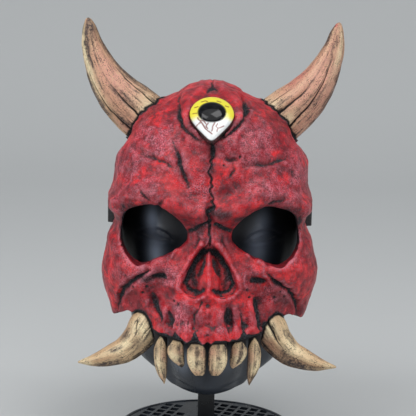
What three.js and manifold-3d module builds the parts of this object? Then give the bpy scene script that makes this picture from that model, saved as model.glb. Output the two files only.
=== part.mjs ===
// Horned skull mask with a third eye, tusks and an upper row of teeth, worn by a plain black
// display head that stands on a square rod and a round foot.
// Millimetres, +Z up. The face looks along -Y, left and right are the viewer's, and the origin is
// the middle of the foot's underside.
import * as THREE from 'three';
import Module from 'manifold-3d';
import { mergeVertices } from 'three/addons/utils/BufferGeometryUtils.js';
import { LoftGeometry } from 'three/addons/geometries/LoftGeometry.js';

const wasm = await Module();
wasm.setup();

// Stand
const FOOT_RADIUS = 75;
const FOOT_THICKNESS = 8;
const FOOT_EDGE = 1.5;
const ROD_SIDE = 14;
const ROD_CORNER = 1.2;
const ROD_SHOWN = 58;
const ROD_IN_HEAD = 32;
const ROD_IN_FOOT = 4;

// Display head
const HEAD_HEIGHT = 232;
const HEAD_BACK = 84;
const HEAD_MIDDLE_Y = 8;
const HEAD_SIDE_ROOM = 0.5;
const HEAD_FRONT_ROOM = 23;

// Skull mask: a shell over the head's front and crown
const SKULL_HEIGHT = 193.5;
const SKULL_HALF_WIDTH = 84;
const SKULL_DEPTH = 100;
const SKULL_AXIS_Y = -15;
const SKULL_WALL = 5;
const SKULL_SHOULDER = 0.625;

// Fits
const FIT_GAP = 0.3;
const HEAD_GAP = 0.4;
const BOSS_THICKNESS = 5;

// Horns
const HORN_REACH = 45;
const HORN_RISE = 78;
const HORN_BASE_RADIUS = 20.5;
const HORN_SEAT_DEPTH = 5;
const HORN_BASE_ACROSS = 0.629;
const HORN_BASE_FORWARD = 0.1;
const HORN_BASE_UP = 0.843;
const HORN_LEAN_BACK = -5;

// Tusks
const TUSK_REACH = 51;
const TUSK_DROP = 27.5;
const TUSK_BASE_RADIUS = 13.3;
const TUSK_SEAT_DEPTH = 9;
const TUSK_SEAT_WALL = 3.5;
const TUSK_BASE_ACROSS = 0.565;
const TUSK_BASE_FORWARD = 0.71;
const TUSK_BASE_UP = 0.052;
const TUSK_SWING_FORWARD = -10;

// Teeth
const INCISOR_LENGTH = 30;
const INCISOR_HALF_WIDTH = 7.1;
const SIDE_TOOTH_LENGTH = 26;
const SIDE_TOOTH_HALF_WIDTH = 6.3;
const FANG_LENGTH = 40;
const FANG_HALF_WIDTH = 4.7;
const TOOTH_HALF_DEPTH = 4.6;

// Third eye
const EYE_LENGTH = 42;
const EYE_HALF_WIDTH = 16.7;
const EYE_TILT = THREE.MathUtils.degToRad(50);
const EYE_HEIGHT = 0.866;
const EYE_SEAT_DEPTH = 5;
const EYE_DOME = 3.4;
const PUPIL_RADIUS = 10.3;
const PUPIL_DOME = 4.2;
const PUPIL_SEAT_DEPTH = 2.2;
const PUPIL_OFFSET = 0.8;

// Strap
const STRAP_WIDTH = 18;
const STRAP_THICKNESS = 2;
const STRAP_HEIGHT = 0.466;
const STRAP_SLOT_FORWARD = 0.27;
const STRAP_TAIL = 5;

const RED = { color: 0xa8232a, roughness: 0.45, metalness: 0 };
const BONE = { color: 0xc6ad7e, roughness: 0.5, metalness: 0 };
const EYE_WHITE = { color: 0xe8e4c0, roughness: 0.25, metalness: 0 };
const GLOSS_BLACK = { color: 0x0b0b0c, roughness: 0.08, metalness: 0 };
const SATIN_BLACK = { color: 0x1c1d20, roughness: 0.4, metalness: 0 };
const STRAP_BLACK = { color: 0x141415, roughness: 0.85, metalness: 0 };

const SIDES = { left: -1, right: 1 };

// Levels that follow from the sizes above
const chinZ = FOOT_THICKNESS + ROD_SHOWN;
const headTopZ = chinZ + HEAD_HEIGHT;
const crownZ = headTopZ + HEAD_GAP + SKULL_WALL;
const gumZ = crownZ - SKULL_HEIGHT;

const across = (share) => share * SKULL_HALF_WIDTH;
const up = (share) => gumZ + share * SKULL_HEIGHT;
const forward = (share) => SKULL_AXIS_Y - share * SKULL_DEPTH;
const headUp = (share) => chinZ + share * HEAD_HEIGHT;

// The mask fits the head: the head's width and front follow from the room left inside the shell
const headHalfWidth = SKULL_HALF_WIDTH - SKULL_WALL - HEAD_SIDE_ROOM;
const headFront = HEAD_MIDDLE_Y - (forward(1) + SKULL_WALL + HEAD_FRONT_ROOM);

// Solids from geometry, and geometry from solids

function solid(geometry) {
  const bare = new THREE.BufferGeometry();
  bare.setAttribute('position', geometry.getAttribute('position'));
  bare.setIndex(geometry.getIndex());
  const merged = mergeVertices(bare, 1e-4);
  const corners = merged.index.array;
  const kept = [];
  for (let i = 0; i < corners.length; i += 3) {
    const [a, b, c] = [corners[i], corners[i + 1], corners[i + 2]];
    if (a !== b && b !== c && c !== a) kept.push(a, b, c);
  }
  return new wasm.Manifold(new wasm.Mesh({
    numProp: 3,
    vertProperties: new Float32Array(merged.attributes.position.array),
    triVerts: new Uint32Array(kept),
  }));
}

function geometryOf(manifold) {
  const mesh = manifold.getMesh();
  const geometry = new THREE.BufferGeometry();
  geometry.setAttribute('position', new THREE.BufferAttribute(mesh.vertProperties, 3));
  geometry.setIndex(new THREE.BufferAttribute(mesh.triVerts, 1));
  geometry.computeVertexNormals();
  return geometry;
}

function cut(body, ...cutters) {
  return cutters.reduce((rest, cutter) => rest.subtract(cutter), body);
}

// Smooth tables: rows of [key, value, value...] read at any key
function table(rows) {
  const keys = rows.map((row) => row[0]);
  const values = rows.flatMap((row) => row.slice(1));
  const curve = new THREE.CubicInterpolant(keys, values, rows[0].length - 1);
  const [first, last] = [keys[0], keys[keys.length - 1]];
  return (key) => Array.from(curve.evaluate(THREE.MathUtils.clamp(key, first, last)));
}

const bowed = (value, squareness) => Math.sign(value) * Math.abs(value) ** (2 / squareness);

const bump = (distance, radius) => Math.exp(-((distance / radius) ** 2));

// A mound or hollow at a place on the front, as a rise at x, z
function mound(x, z, radiusX, radiusZ, rise) {
  return (px, pz) => {
    const dx = (Math.abs(px) - across(x)) / across(radiusX);
    const dz = (pz - up(z)) / (radiusZ * SKULL_HEIGHT);
    return rise * SKULL_DEPTH * Math.exp(-(dx * dx + dz * dz));
  };
}

// A ridge or furrow that follows a run of places on the front
function ridge(places, radius, rise) {
  const points = places.map(([x, z]) => new THREE.Vector2(across(x), up(z)));
  const here = new THREE.Vector2();
  return (px, pz) => {
    here.set(Math.abs(px), pz);
    let nearest = Infinity;
    for (let i = 1; i < points.length; i += 1) {
      const along = points[i].clone().sub(points[i - 1]);
      const from = here.clone().sub(points[i - 1]);
      const share = THREE.MathUtils.clamp(from.dot(along) / along.lengthSq(), 0, 1);
      nearest = Math.min(nearest, from.addScaledVector(along, -share).length());
    }
    return rise * SKULL_DEPTH * bump(nearest, across(radius));
  };
}

// The tooth roots swell the bone above the gum
const ROOTS_ACROSS = [0.096, 0.279, 0.42];
function roots(px, pz) {
  const fade = bump(pz - up(0.1), 0.085 * SKULL_HEIGHT);
  const swell = ROOTS_ACROSS.map((x) => bump(Math.abs(px) - across(x), across(0.058)));
  return fade * (Math.max(...swell) - 0.45) * 0.05 * SKULL_DEPTH;
}

const CARVING = [
  roots,
  mound(0, 0.535, 0.17, 0.045, 0.045),
  mound(0, 0.415, 0.11, 0.05, 0.09),
  mound(0, 0.13, 0.42, 0.17, 0.13),
  mound(0, 0.885, 0.3, 0.12, 0.055),
  mound(0.36, 0.7, 0.24, 0.1, 0.025),
  mound(0.62, 0.85, 0.2, 0.09, 0.06),
  mound(0.7, 0.265, 0.26, 0.07, 0.07),
  mound(0.46, 0.185, 0.11, 0.045, -0.08),
  mound(0.72, 0.15, 0.13, 0.045, -0.04),
  mound(0.95, 0.66, 0.12, 0.08, -0.02),
  ridge([[0.1, 0.52], [0.29, 0.545], [0.48, 0.585], [0.69, 0.573], [0.85, 0.51]], 0.075, 0.075),
  ridge([[0.09, 0.44], [0.2, 0.35], [0.31, 0.24]], 0.065, 0.055),
  ridge([[0.34, 0.315], [0.55, 0.28], [0.74, 0.3], [0.87, 0.38]], 0.06, 0.04),
  ridge([[0, 0.5], [0, 0.78]], 0.035, -0.022),
  ridge([[0, 0.79], [0.12, 0.815], [0.25, 0.885], [0.2, 0.97]], 0.05, 0.03),
  ridge([[0.14, 0.76], [0.36, 0.86], [0.33, 0.95]], 0.04, -0.025),
  ridge([[0.3, 0.69], [0.55, 0.76]], 0.045, -0.022),
  ridge([[0.12, 0.58], [0.3, 0.66], [0.62, 0.67]], 0.045, -0.022),
];
const CROWN_FADE = 0.93;

function carving(px, pz) {
  const level = (pz - gumZ) / SKULL_HEIGHT;
  const fade = 1 - THREE.MathUtils.smoothstep(level, CROWN_FADE, 1);
  return fade * CARVING.reduce((sum, form) => sum + form(px, pz), 0);
}

// The skull's plain form below its shoulder: level, half width, front, widest place, squareness
const SKULL_FORM = table([
  [-0.14, 0.8, 0.83, 0.35, 2.3],
  [0.01, 0.88, 0.87, 0.35, 2.3],
  [0.07, 0.935, 0.88, 0.35, 2.4],
  [0.18, 0.992, 0.87, 0.34, 2.5],
  [0.245, 1, 0.85, 0.32, 2.6],
  [0.31, 0.982, 0.83, 0.31, 2.7],
  [0.39, 0.95, 0.84, 0.3, 2.7],
  [0.43, 0.93, 0.855, 0.28, 2.7],
  [0.51, 0.955, 0.885, 0.24, 2.6],
  [0.57, 0.93, 0.895, 0.2, 2.5],
  [SKULL_SHOULDER, 0.911, 0.885, 0.17, 2.45],
]);
const DOME_SQUARENESS = 1.6;
const DOME_FRONT_CENTRE = 0.543;

// Half width, front, widest place and squareness at a level, for a skin drawn in by inset
function skullForm(z, inset) {
  const level = (z - gumZ) / SKULL_HEIGHT;
  const [width, front, widest, squareness] = SKULL_FORM(level);
  if (level <= SKULL_SHOULDER) {
    return [across(width) - inset, forward(front) + inset, forward(widest), squareness];
  }
  const top = crownZ - inset;
  const rise = Math.min((z - up(SKULL_SHOULDER)) / (top - up(SKULL_SHOULDER)), 1);
  const centreZ = up(DOME_FRONT_CENTRE);
  const bow = Math.sqrt(Math.max(1 - ((z - centreZ) / (top - centreZ)) ** 2, 0));
  const narrowing = (1 - rise ** DOME_SQUARENESS) ** (1 / DOME_SQUARENESS);
  return [
    (across(width) - inset) * narrowing,
    SKULL_AXIS_Y - (0.9 * SKULL_DEPTH - inset) * bow,
    THREE.MathUtils.lerp(forward(widest), SKULL_AXIS_Y, rise),
    THREE.MathUtils.lerp(squareness, 2, rise),
  ];
}

// A point on the plain skin: turn 0 is the front, a half turn either way is the back
function skinPoint(turn, z, inset) {
  const [halfWidth, front, widest, squareness] = skullForm(z, inset);
  const ahead = Math.cos(turn) > 0;
  const bow = ahead ? squareness : 2;
  const reach = ahead ? widest - front : SKULL_DEPTH * Math.min(halfWidth / across(0.6), 1);
  const [sine, cosine] = [bowed(Math.sin(turn), bow), bowed(Math.cos(turn), bow)];
  return new THREE.Vector3(halfWidth * sine, widest - reach * cosine, z);
}

function carvedPoint(turn, z, inset, relief) {
  const point = skinPoint(turn, z, inset);
  const rise = relief(point.x, point.z);
  const step = 0.01;
  const aside = skinPoint(turn + step, z, inset).sub(skinPoint(turn - step, z, inset));
  const above = skinPoint(turn, Math.min(z + 1, crownZ - inset - 0.5), inset)
    .sub(skinPoint(turn, z - 1, inset));
  const outward = aside.cross(above).normalize();
  const facing = THREE.MathUtils.smoothstep(Math.cos(turn), -0.3, 0.1);
  return point.addScaledVector(outward, rise * facing);
}

// Places round the skull: evenly spread across the front, wider apart at the sides and behind
const FRONT_SHARE = 0.62;
const MEAN_SQUARENESS = 2.4;

function turnsRound(frontSteps, sideSteps, backSteps) {
  const frontTurn = Math.asin(FRONT_SHARE ** (MEAN_SQUARENESS / 2));
  const sideTurn = THREE.MathUtils.degToRad(92);
  const turns = [];
  for (let i = 0; i < frontSteps; i += 1) {
    const share = (FRONT_SHARE * i) / frontSteps;
    turns.push(Math.asin(share ** (MEAN_SQUARENESS / 2)));
  }
  for (let i = 0; i < sideSteps; i += 1) {
    turns.push(THREE.MathUtils.lerp(frontTurn, sideTurn, i / sideSteps));
  }
  for (let i = 0; i <= backSteps; i += 1) {
    turns.push(THREE.MathUtils.lerp(sideTurn, Math.PI, i / backSteps));
  }
  const mirrored = turns.slice(1, -1).reverse().map((turn) => -turn);
  return [...mirrored, ...turns];
}

function levelsUp(bottomZ, topZ, lowSteps, domeSteps) {
  const shoulderZ = up(SKULL_SHOULDER);
  const levels = [];
  for (let i = 0; i < lowSteps; i += 1) {
    levels.push(THREE.MathUtils.lerp(bottomZ, shoulderZ, i / lowSteps));
  }
  for (let i = 0; i <= domeSteps; i += 1) {
    const swing = (Math.PI / 2) * (i / domeSteps);
    levels.push(THREE.MathUtils.lerp(shoulderZ, topZ - 0.05, Math.sin(swing)));
  }
  return levels;
}

function skullBlob(inset, relief, turns, levels) {
  const sections = levels.map((z) => turns.map((turn) => carvedPoint(turn, z, inset, relief)));
  return solid(new LoftGeometry(sections, { capStart: true, capEnd: true }));
}

// A closed outline in the front view, pushed through the skull along Y
function throughY(outline, frontY, backY) {
  const geometry = new THREE.ExtrudeGeometry(outline, {
    depth: backY - frontY,
    bevelEnabled: false,
    curveSegments: 10,
  });
  geometry.rotateX(Math.PI / 2);
  geometry.translate(0, backY, 0);
  return solid(geometry);
}

function mirroredX(manifold) {
  return manifold.mirror([1, 0, 0]);
}

// Eye sockets: wide at the brow, drawn in towards the back
const SOCKET_OUTLINE = [
  [0.83, 0.445], [0.8, 0.36], [0.63, 0.305], [0.4, 0.343], [0.2, 0.411],
  [0.265, 0.485], [0.47, 0.547], [0.68, 0.534], [0.78, 0.505],
];
const SOCKET_MIDDLE = [0.52, 0.43];
const SOCKET_SECTIONS = [[1.5, 1.3], [1, 1.1], [0.78, 0.98], [0.55, 0.9], [0.2, 0.84]];

function socketCutter() {
  const [middleX, middleZ] = [across(SOCKET_MIDDLE[0]), up(SOCKET_MIDDLE[1])];
  const rim = new THREE.SplineCurve(SOCKET_OUTLINE.map(([x, z]) => new THREE.Vector2(across(x), up(z)))
    .concat([new THREE.Vector2(across(SOCKET_OUTLINE[0][0]), up(SOCKET_OUTLINE[0][1]))]));
  const places = rim.getPoints(27).slice(0, -1);
  const sections = SOCKET_SECTIONS.map(([depth, spread]) => places.map((place) => new THREE.Vector3(
    middleX + (place.x - middleX) * spread,
    forward(depth),
    middleZ + (place.y - middleZ) * spread,
  )));
  return solid(new LoftGeometry(sections, { capStart: true, capEnd: true }));
}

// Nose opening: a blind hollow with a raised, ridged wall left standing down its middle
const NOSE_OUTLINE = [
  [0, 0.415], [0.07, 0.385], [0.17, 0.3], [0.25, 0.235], [0.24, 0.205], [0.13, 0.192],
  [0.07, 0.205], [0, 0.222],
];
const NOSE_FLOOR = 0.87;
const NOSE_SLOPE = 0.28;
const SEPTUM = [
  [0.185, 0.1, 0.09], [0.25, 0.12, 0.09], [0.33, 0.09, 0.085], [0.415, 0.03, 0.08],
];

// The hollow's floor leans back towards the brow, as the face does
const noseFloorY = (z) => forward(NOSE_FLOOR) + NOSE_SLOPE * (z - up(0.3));

function noseCutter() {
  const half = NOSE_OUTLINE.map(([x, z]) => [across(x), up(z)]);
  const other = half.slice(1, -1).reverse().map(([x, z]) => [-x, z]);
  const sections = [forward(1.6), 0].map((y) => [...half, ...other]
    .map(([x, z]) => new THREE.Vector3(x, y === 0 ? noseFloorY(z) : y, z)));
  return solid(new LoftGeometry(sections, { capStart: true, capEnd: true }));
}

function septum() {
  const sections = SEPTUM.map(([level, halfWidth, rise]) => {
    const [x, z] = [across(halfWidth), up(level)];
    const root = noseFloorY(z) + 0.03 * SKULL_DEPTH;
    const front = noseFloorY(z) - rise * SKULL_DEPTH;
    const shoulder = THREE.MathUtils.lerp(root, front, 0.65);
    return [
      new THREE.Vector3(-x, root, z), new THREE.Vector3(-x * 0.75, shoulder, z),
      new THREE.Vector3(0, front, z), new THREE.Vector3(x * 0.75, shoulder, z),
      new THREE.Vector3(x, root, z),
    ];
  });
  return solid(new LoftGeometry(sections, { capStart: true, capEnd: true }));
}

// The lower edge: cheek tips, tusk notches and the scalloped gum
const LOWER_EDGE = [
  [1.2, 0.09], [0.93, 0.075], [0.886, 0.052], [0.83, 0.075], [0.75, 0.096], [0.67, 0.085],
  [0.52, 0.072], [0.478, 0.01], [0.455, 0.03], [0.42, 0.048], [0.37, 0.045], [0.33, 0.028],
  [0.3, 0.056], [0.27, 0.064], [0.23, 0.045], [0.187, 0.006], [0.15, 0.05], [0.105, 0.066],
  [0.05, 0.045],
];

function lowerEdgeCutter() {
  const half = LOWER_EDGE.map(([x, z]) => new THREE.Vector2(across(x), up(z)));
  const other = half.slice().reverse().map((place) => new THREE.Vector2(-place.x, place.y));
  const middle = new THREE.Vector2(0, up(0.01));
  const floor = gumZ - SKULL_HEIGHT;
  const outline = new THREE.Shape([
    new THREE.Vector2(across(1.2), floor), ...half, middle, ...other,
    new THREE.Vector2(-across(1.2), floor),
  ]);
  return throughY(outline, forward(1.6), SKULL_DEPTH);
}

// The back edge, seen from the side: behind the horns, down the temple and the cheek
const BACK_EDGE = [[-0.23, 1.5], [-0.23, 0.86], [0.09, 0.6], [0.17, 0.3], [0.27, 0.05], [0.27, -1]];
const TEMPLE_EDGE_FORWARD = BACK_EDGE[2][0];

function backCutter() {
  const outline = new THREE.Shape([...BACK_EDGE, [-3, -1], [-3, 1.5]]
    .map(([ahead, level]) => new THREE.Vector2(forward(ahead), up(level))));
  const geometry = new THREE.ExtrudeGeometry(outline, { depth: across(4), bevelEnabled: false });
  geometry.rotateX(Math.PI / 2);
  geometry.rotateZ(Math.PI / 2);
  geometry.translate(-across(2), 0, 0);
  return solid(geometry);
}

// A closed ring of places, rounder or squarer, counterclockwise
function superellipse(sides, wide, deep, squareness) {
  return Array.from({ length: sides }, (_, k) => {
    const angle = (2 * Math.PI * k) / sides;
    return [wide * bowed(Math.cos(angle), squareness), deep * bowed(Math.sin(angle), squareness)];
  });
}

// A tapered, curved piece: a centre line in the XZ plane with a radius at each of its places
function horned(places, grow, sides, steps) {
  const line = new THREE.CatmullRomCurve3(places.map(([x, y, z]) => new THREE.Vector3(x, y, z)));
  const radii = table(places.map((place, i) => [i / (places.length - 1), place[3]]));
  const sections = [];
  for (let i = 0; i <= steps; i += 1) {
    const share = i / steps;
    const centre = line.getPoint(share);
    const along = line.getTangent(share);
    const deep = new THREE.Vector3(0, 1, 0).addScaledVector(along, -along.y).normalize();
    const wide = deep.clone().cross(along).normalize();
    const radius = Math.max(radii(share)[0], 0.4) + grow;
    const ring = [];
    for (let k = 0; k < sides; k += 1) {
      const angle = (2 * Math.PI * k) / sides;
      ring.push(centre.clone()
        .addScaledVector(wide, radius * Math.cos(angle))
        .addScaledVector(deep, radius * Math.sin(angle)));
    }
    sections.push(ring);
  }
  return solid(new LoftGeometry(sections, { capStart: true, capEnd: true }));
}

// Centre lines as shares of reach and rise, with the radius as a share of the base radius
const HORN_LINE = [
  [0, 0, 1], [0.2, 0.1, 0.97], [0.44, 0.226, 0.87], [0.66, 0.39, 0.72], [0.81, 0.56, 0.56],
  [0.92, 0.73, 0.4], [0.975, 0.89, 0.21], [1, 1, 0.04],
];

function horn(side, grow) {
  const [baseX, baseY] = [across(HORN_BASE_ACROSS), forward(HORN_BASE_FORWARD)];
  const baseZ = up(HORN_BASE_UP);
  const inward = new THREE.Vector2(-0.75, -0.66).multiplyScalar(HORN_SEAT_DEPTH);
  const places = HORN_LINE.map(([reach, rise, thickness]) => [
    side * (baseX + reach * HORN_REACH),
    baseY + reach * HORN_LEAN_BACK,
    baseZ + rise * HORN_RISE,
    thickness * HORN_BASE_RADIUS,
  ]);
  const root = [side * (baseX + inward.x), baseY, baseZ + inward.y, HORN_BASE_RADIUS];
  return horned([root, ...places], grow, 12, 12);
}

const TUSK_LINE = [
  [0, 0, 1], [0.11, 0.33, 0.9], [0.284, 0.64, 0.77], [0.49, 0.8, 0.63], [0.706, 0.92, 0.42],
  [1, 1, 0.05],
];

function tuskPlaces(side) {
  const [baseX, baseY] = [across(TUSK_BASE_ACROSS), forward(TUSK_BASE_FORWARD)];
  const baseZ = up(TUSK_BASE_UP);
  const inward = new THREE.Vector3(-0.5, 0.44, 0.86).multiplyScalar(TUSK_SEAT_DEPTH);
  const places = TUSK_LINE.map(([reach, drop, thickness]) => [
    side * (baseX + reach * TUSK_REACH),
    baseY + Math.sin((Math.PI / 2) * reach) * TUSK_SWING_FORWARD,
    baseZ - drop * TUSK_DROP,
    thickness * TUSK_BASE_RADIUS,
  ]);
  const root = [
    side * (baseX + inward.x), baseY + inward.y, baseZ + inward.z, 0.86 * TUSK_BASE_RADIUS,
  ];
  return [root, ...places];
}

const tusk = (side, grow) => horned(tuskPlaces(side), grow, 12, 10);

function tuskSeat(side) {
  const [x, y, z] = tuskPlaces(side)[0];
  const seat = new THREE.SphereGeometry(TUSK_BASE_RADIUS + TUSK_SEAT_WALL, 20, 14);
  seat.translate(x, y, z);
  return solid(seat);
}

// Teeth, as rows of level under the gum line, middle and half width, all shares of the tooth's own
// length and width, with the middle as a shift away from the mask's midline
const TEETH = {
  incisor: {
    across: ROOTS_ACROSS[0],
    forward: 0.995,
    length: INCISOR_LENGTH,
    halfWidth: INCISOR_HALF_WIDTH,
    squareness: 3,
    rows: [[0, 0, 0.76], [0.22, 0, 0.86], [0.42, 0, 1], [0.68, -0.03, 0.97], [0.86, -0.15, 0.8],
      [0.97, -0.25, 0.6], [1, -0.27, 0.45]],
  },
  side_tooth: {
    across: ROOTS_ACROSS[1],
    forward: 0.95,
    length: SIDE_TOOTH_LENGTH,
    halfWidth: SIDE_TOOTH_HALF_WIDTH,
    squareness: 2.5,
    rows: [[0, 0, 0.76], [0.25, 0, 0.88], [0.47, 0.03, 1], [0.65, -0.08, 0.94], [0.82, -0.34, 0.7],
      [0.94, -0.56, 0.4], [1, -0.64, 0.16]],
  },
  fang: {
    across: ROOTS_ACROSS[2],
    forward: 0.885,
    length: FANG_LENGTH,
    halfWidth: FANG_HALF_WIDTH,
    squareness: 2.2,
    rows: [[0, 0, 0.86], [0.2, 0, 0.98], [0.46, 0, 1], [0.63, -0.08, 0.93], [0.79, -0.3, 0.7],
      [0.92, -0.48, 0.36], [1, -0.56, 0.1]],
  },
};
const TEETH_TOP = 0.052;

const TOOTH_SIDES = 10;

function tooth(side, form, grow) {
  const sections = form.rows.slice().reverse().map(([level, shift, share]) => {
    const ends = (level === 0 ? grow : 0) - (level === 1 ? grow : 0);
    const z = up(TEETH_TOP) - level * form.length + ends;
    const middle = new THREE.Vector3(
      side * (across(form.across) + shift * form.halfWidth),
      forward(form.forward) + 0.9 * (1 - share) * TOOTH_HALF_DEPTH,
      z,
    );
    const wide = share * form.halfWidth + grow;
    const deep = THREE.MathUtils.lerp(share, 1, 0.15) * TOOTH_HALF_DEPTH + grow;
    return superellipse(TOOTH_SIDES, wide, deep, form.squareness)
      .map(([x, y]) => new THREE.Vector3(middle.x + x, middle.y + y, z));
  });
  return solid(new LoftGeometry(sections, { capStart: true, capEnd: true }));
}

// Third eye: a teardrop plug with a domed face, set square to the forehead
function eyeFrame() {
  const centreZ = up(EYE_HEIGHT);
  const [, front] = skullForm(centreZ, 0);
  const frame = new THREE.Object3D();
  frame.position.set(0, front, centreZ);
  frame.rotation.x = Math.PI / 2 - EYE_TILT;
  frame.updateMatrix();
  const lift = carving(0, centreZ);
  frame.translateZ(lift);
  frame.updateMatrix();
  return frame.matrix;
}

function teardrop(steps, spread) {
  const places = [];
  for (let k = 0; k < steps; k += 1) {
    const angle = (2 * Math.PI * k) / steps;
    const low = Math.max(-Math.sin(angle), 0);
    places.push([
      EYE_HALF_WIDTH * Math.cos(angle) * (1 - 0.42 * low ** 1.5) * spread,
      (EYE_LENGTH * (Math.sin(angle) > 0 ? 0.42 : 0.58) * Math.sin(angle)
        - 0.12 * EYE_LENGTH * low ** 8 + 0.02 * EYE_LENGTH) * spread,
    ]);
  }
  return places;
}

const EYE_RINGS = [[-1, 1], [0, 1], [0.45, 0.9], [0.8, 0.66], [0.96, 0.36], [1, 0.12]];

function eyePlug(grow) {
  const spread = 1 + grow / EYE_HALF_WIDTH;
  const sections = EYE_RINGS.map(([rise, share]) => {
    const height = rise < 0 ? -EYE_SEAT_DEPTH - grow : rise * EYE_DOME + (rise === 1 ? grow : 0);
    return teardrop(24, share * spread).map(([x, y]) => new THREE.Vector3(x, y, height));
  });
  const geometry = new LoftGeometry(sections, { capStart: true, capEnd: true });
  return solid(geometry.applyMatrix4(eyeFrame()));
}

function eyeCutter() {
  const spread = 1 + FIT_GAP / EYE_HALF_WIDTH;
  const ends = [-EYE_SEAT_DEPTH - FIT_GAP, 4 * EYE_DOME];
  const sections = ends.map((height) => teardrop(24, spread)
    .map(([x, y]) => new THREE.Vector3(x, y, height)));
  const geometry = new LoftGeometry(sections, { capStart: true, capEnd: true });
  return solid(geometry.applyMatrix4(eyeFrame()));
}

function pupilSolid(grow) {
  const steps = 5;
  const base = -PUPIL_SEAT_DEPTH - grow;
  const outline = [new THREE.Vector2(0, base), new THREE.Vector2(PUPIL_RADIUS + grow, base)];
  for (let k = 0; k < steps; k += 1) {
    const angle = (Math.PI / 2) * (k / steps);
    outline.push(new THREE.Vector2(
      (PUPIL_RADIUS + grow) * Math.cos(angle),
      (PUPIL_DOME + grow - 1) * Math.sin(angle) + 1,
    ));
  }
  outline.push(new THREE.Vector2(0, PUPIL_DOME + grow));
  const geometry = new THREE.LatheGeometry(outline, 20);
  geometry.rotateX(Math.PI / 2);
  geometry.translate(0, PUPIL_OFFSET, 0.5 * EYE_DOME);
  return solid(geometry.applyMatrix4(eyeFrame()));
}

// Display head: level, half width, front, back and squareness of the face, as shares of its sizes
const HEAD_FORM = table([
  [0, 0.5, 0.86, 0.46, 1.95],
  [0.01, 0.615, 0.905, 0.54, 1.97],
  [0.03, 0.715, 0.94, 0.61, 2],
  [0.056, 0.765, 0.955, 0.65, 2.02],
  [0.095, 0.79, 0.965, 0.68, 2],
  [0.19, 0.83, 0.965, 0.75, 1.95],
  [0.25, 0.87, 0.94, 0.79, 1.95],
  [0.36, 0.94, 0.91, 0.88, 2],
  [0.47, 0.98, 0.9, 0.96, 2],
  [0.56, 1, 0.94, 1, 2.05],
  [0.643, 0.91, 0.965, 1, 2.15],
]);
const HEAD_SHOULDER = 0.643;

// Brow, eyes, nose, lips and chin, as [x, level, radius across, radius up, rise] in head shares
const FACE = [
  [0, 0.545, 0.2, 0.035, 0.03],
  [0.4, 0.535, 0.22, 0.03, 0.035],
  [0.42, 0.5, 0.17, 0.045, -0.07],
  [0.42, 0.5, 0.14, 0.04, 0.045],
  [0, 0.49, 0.11, 0.05, 0.06],
  [0, 0.43, 0.11, 0.055, 0.1],
  [0, 0.385, 0.15, 0.025, 0.075],
  [0, 0.275, 0.2, 0.03, 0.035],
  [0, 0.215, 0.18, 0.02, -0.03],
  [0, 0.07, 0.24, 0.06, 0.05],
];

function faceRise(x, z) {
  return FACE.reduce((sum, [fx, level, radiusX, radiusZ, rise]) => {
    const dx = (Math.abs(x) / headHalfWidth - fx) / radiusX;
    const dz = ((z - chinZ) / HEAD_HEIGHT - level) / radiusZ;
    return sum + rise * headFront * Math.exp(-(dx * dx + dz * dz));
  }, 0);
}

function headPoint(turn, z, grow) {
  const level = (z - chinZ) / HEAD_HEIGHT;
  const [width, front, back, squareness] = HEAD_FORM(level);
  const over = Math.max(level - HEAD_SHOULDER, 0) / (1 - HEAD_SHOULDER);
  const bow = Math.sqrt(Math.max(1 - over * over, 0));
  const narrowing = (1 - over ** DOME_SQUARENESS) ** (1 / DOME_SQUARENESS);
  const middle = THREE.MathUtils.lerp(HEAD_MIDDLE_Y, SKULL_AXIS_Y, over);
  const ahead = Math.cos(turn) > 0;
  const reach = (ahead ? front * headFront : back * HEAD_BACK) * bow;
  const [sine, cosine] = [Math.sin(turn), Math.cos(turn)]
    .map((value) => bowed(value, ahead ? squareness : 2.1));
  const x = width * headHalfWidth * narrowing * sine;
  const rise = ahead ? faceRise(x, z) * Math.cos(turn) : 0;
  const point = new THREE.Vector3(x, middle - reach * cosine - rise, z);
  const away = new THREE.Vector3(point.x, point.y - middle, (z - headUp(HEAD_SHOULDER)) * over);
  return point.addScaledVector(away.normalize(), grow);
}

function headSolid(grow) {
  const turns = turnsRound(8, 4, 5);
  const [faceSteps, domeSteps] = [17, 6];
  const levels = [];
  for (let i = 0; i <= faceSteps; i += 1) {
    levels.push(THREE.MathUtils.lerp(chinZ, headUp(HEAD_SHOULDER), i / faceSteps));
  }
  for (let i = 1; i <= domeSteps; i += 1) {
    const swing = Math.sin((Math.PI / 2) * (i / domeSteps));
    levels.push(THREE.MathUtils.lerp(headUp(HEAD_SHOULDER), headTopZ - 0.02, swing));
  }
  const sections = levels.map((z) => turns.map((turn) => headPoint(turn, z, grow)));
  return solid(new LoftGeometry(sections, { capStart: true, capEnd: true }));
}

function roundedSquare(side, corner) {
  const half = side / 2;
  const inner = half - corner;
  const outline = new THREE.Shape();
  const corners = [[1, 1], [-1, 1], [-1, -1], [1, -1]];
  corners.forEach(([x, y], quarter) => {
    outline.absarc(x * inner, y * inner, corner, quarter * Math.PI / 2, (quarter + 1) * Math.PI / 2);
  });
  return outline;
}

function rodSolid(grow) {
  const outline = roundedSquare(ROD_SIDE + 2 * grow, ROD_CORNER);
  const bottom = FOOT_THICKNESS - ROD_IN_FOOT + FIT_GAP - grow;
  const top = chinZ + ROD_IN_HEAD - FIT_GAP + grow;
  const geometry = new THREE.ExtrudeGeometry(outline, {
    depth: top - bottom,
    bevelEnabled: false,
    curveSegments: 3,
  });
  geometry.translate(0, 0, bottom);
  return solid(geometry);
}

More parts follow.
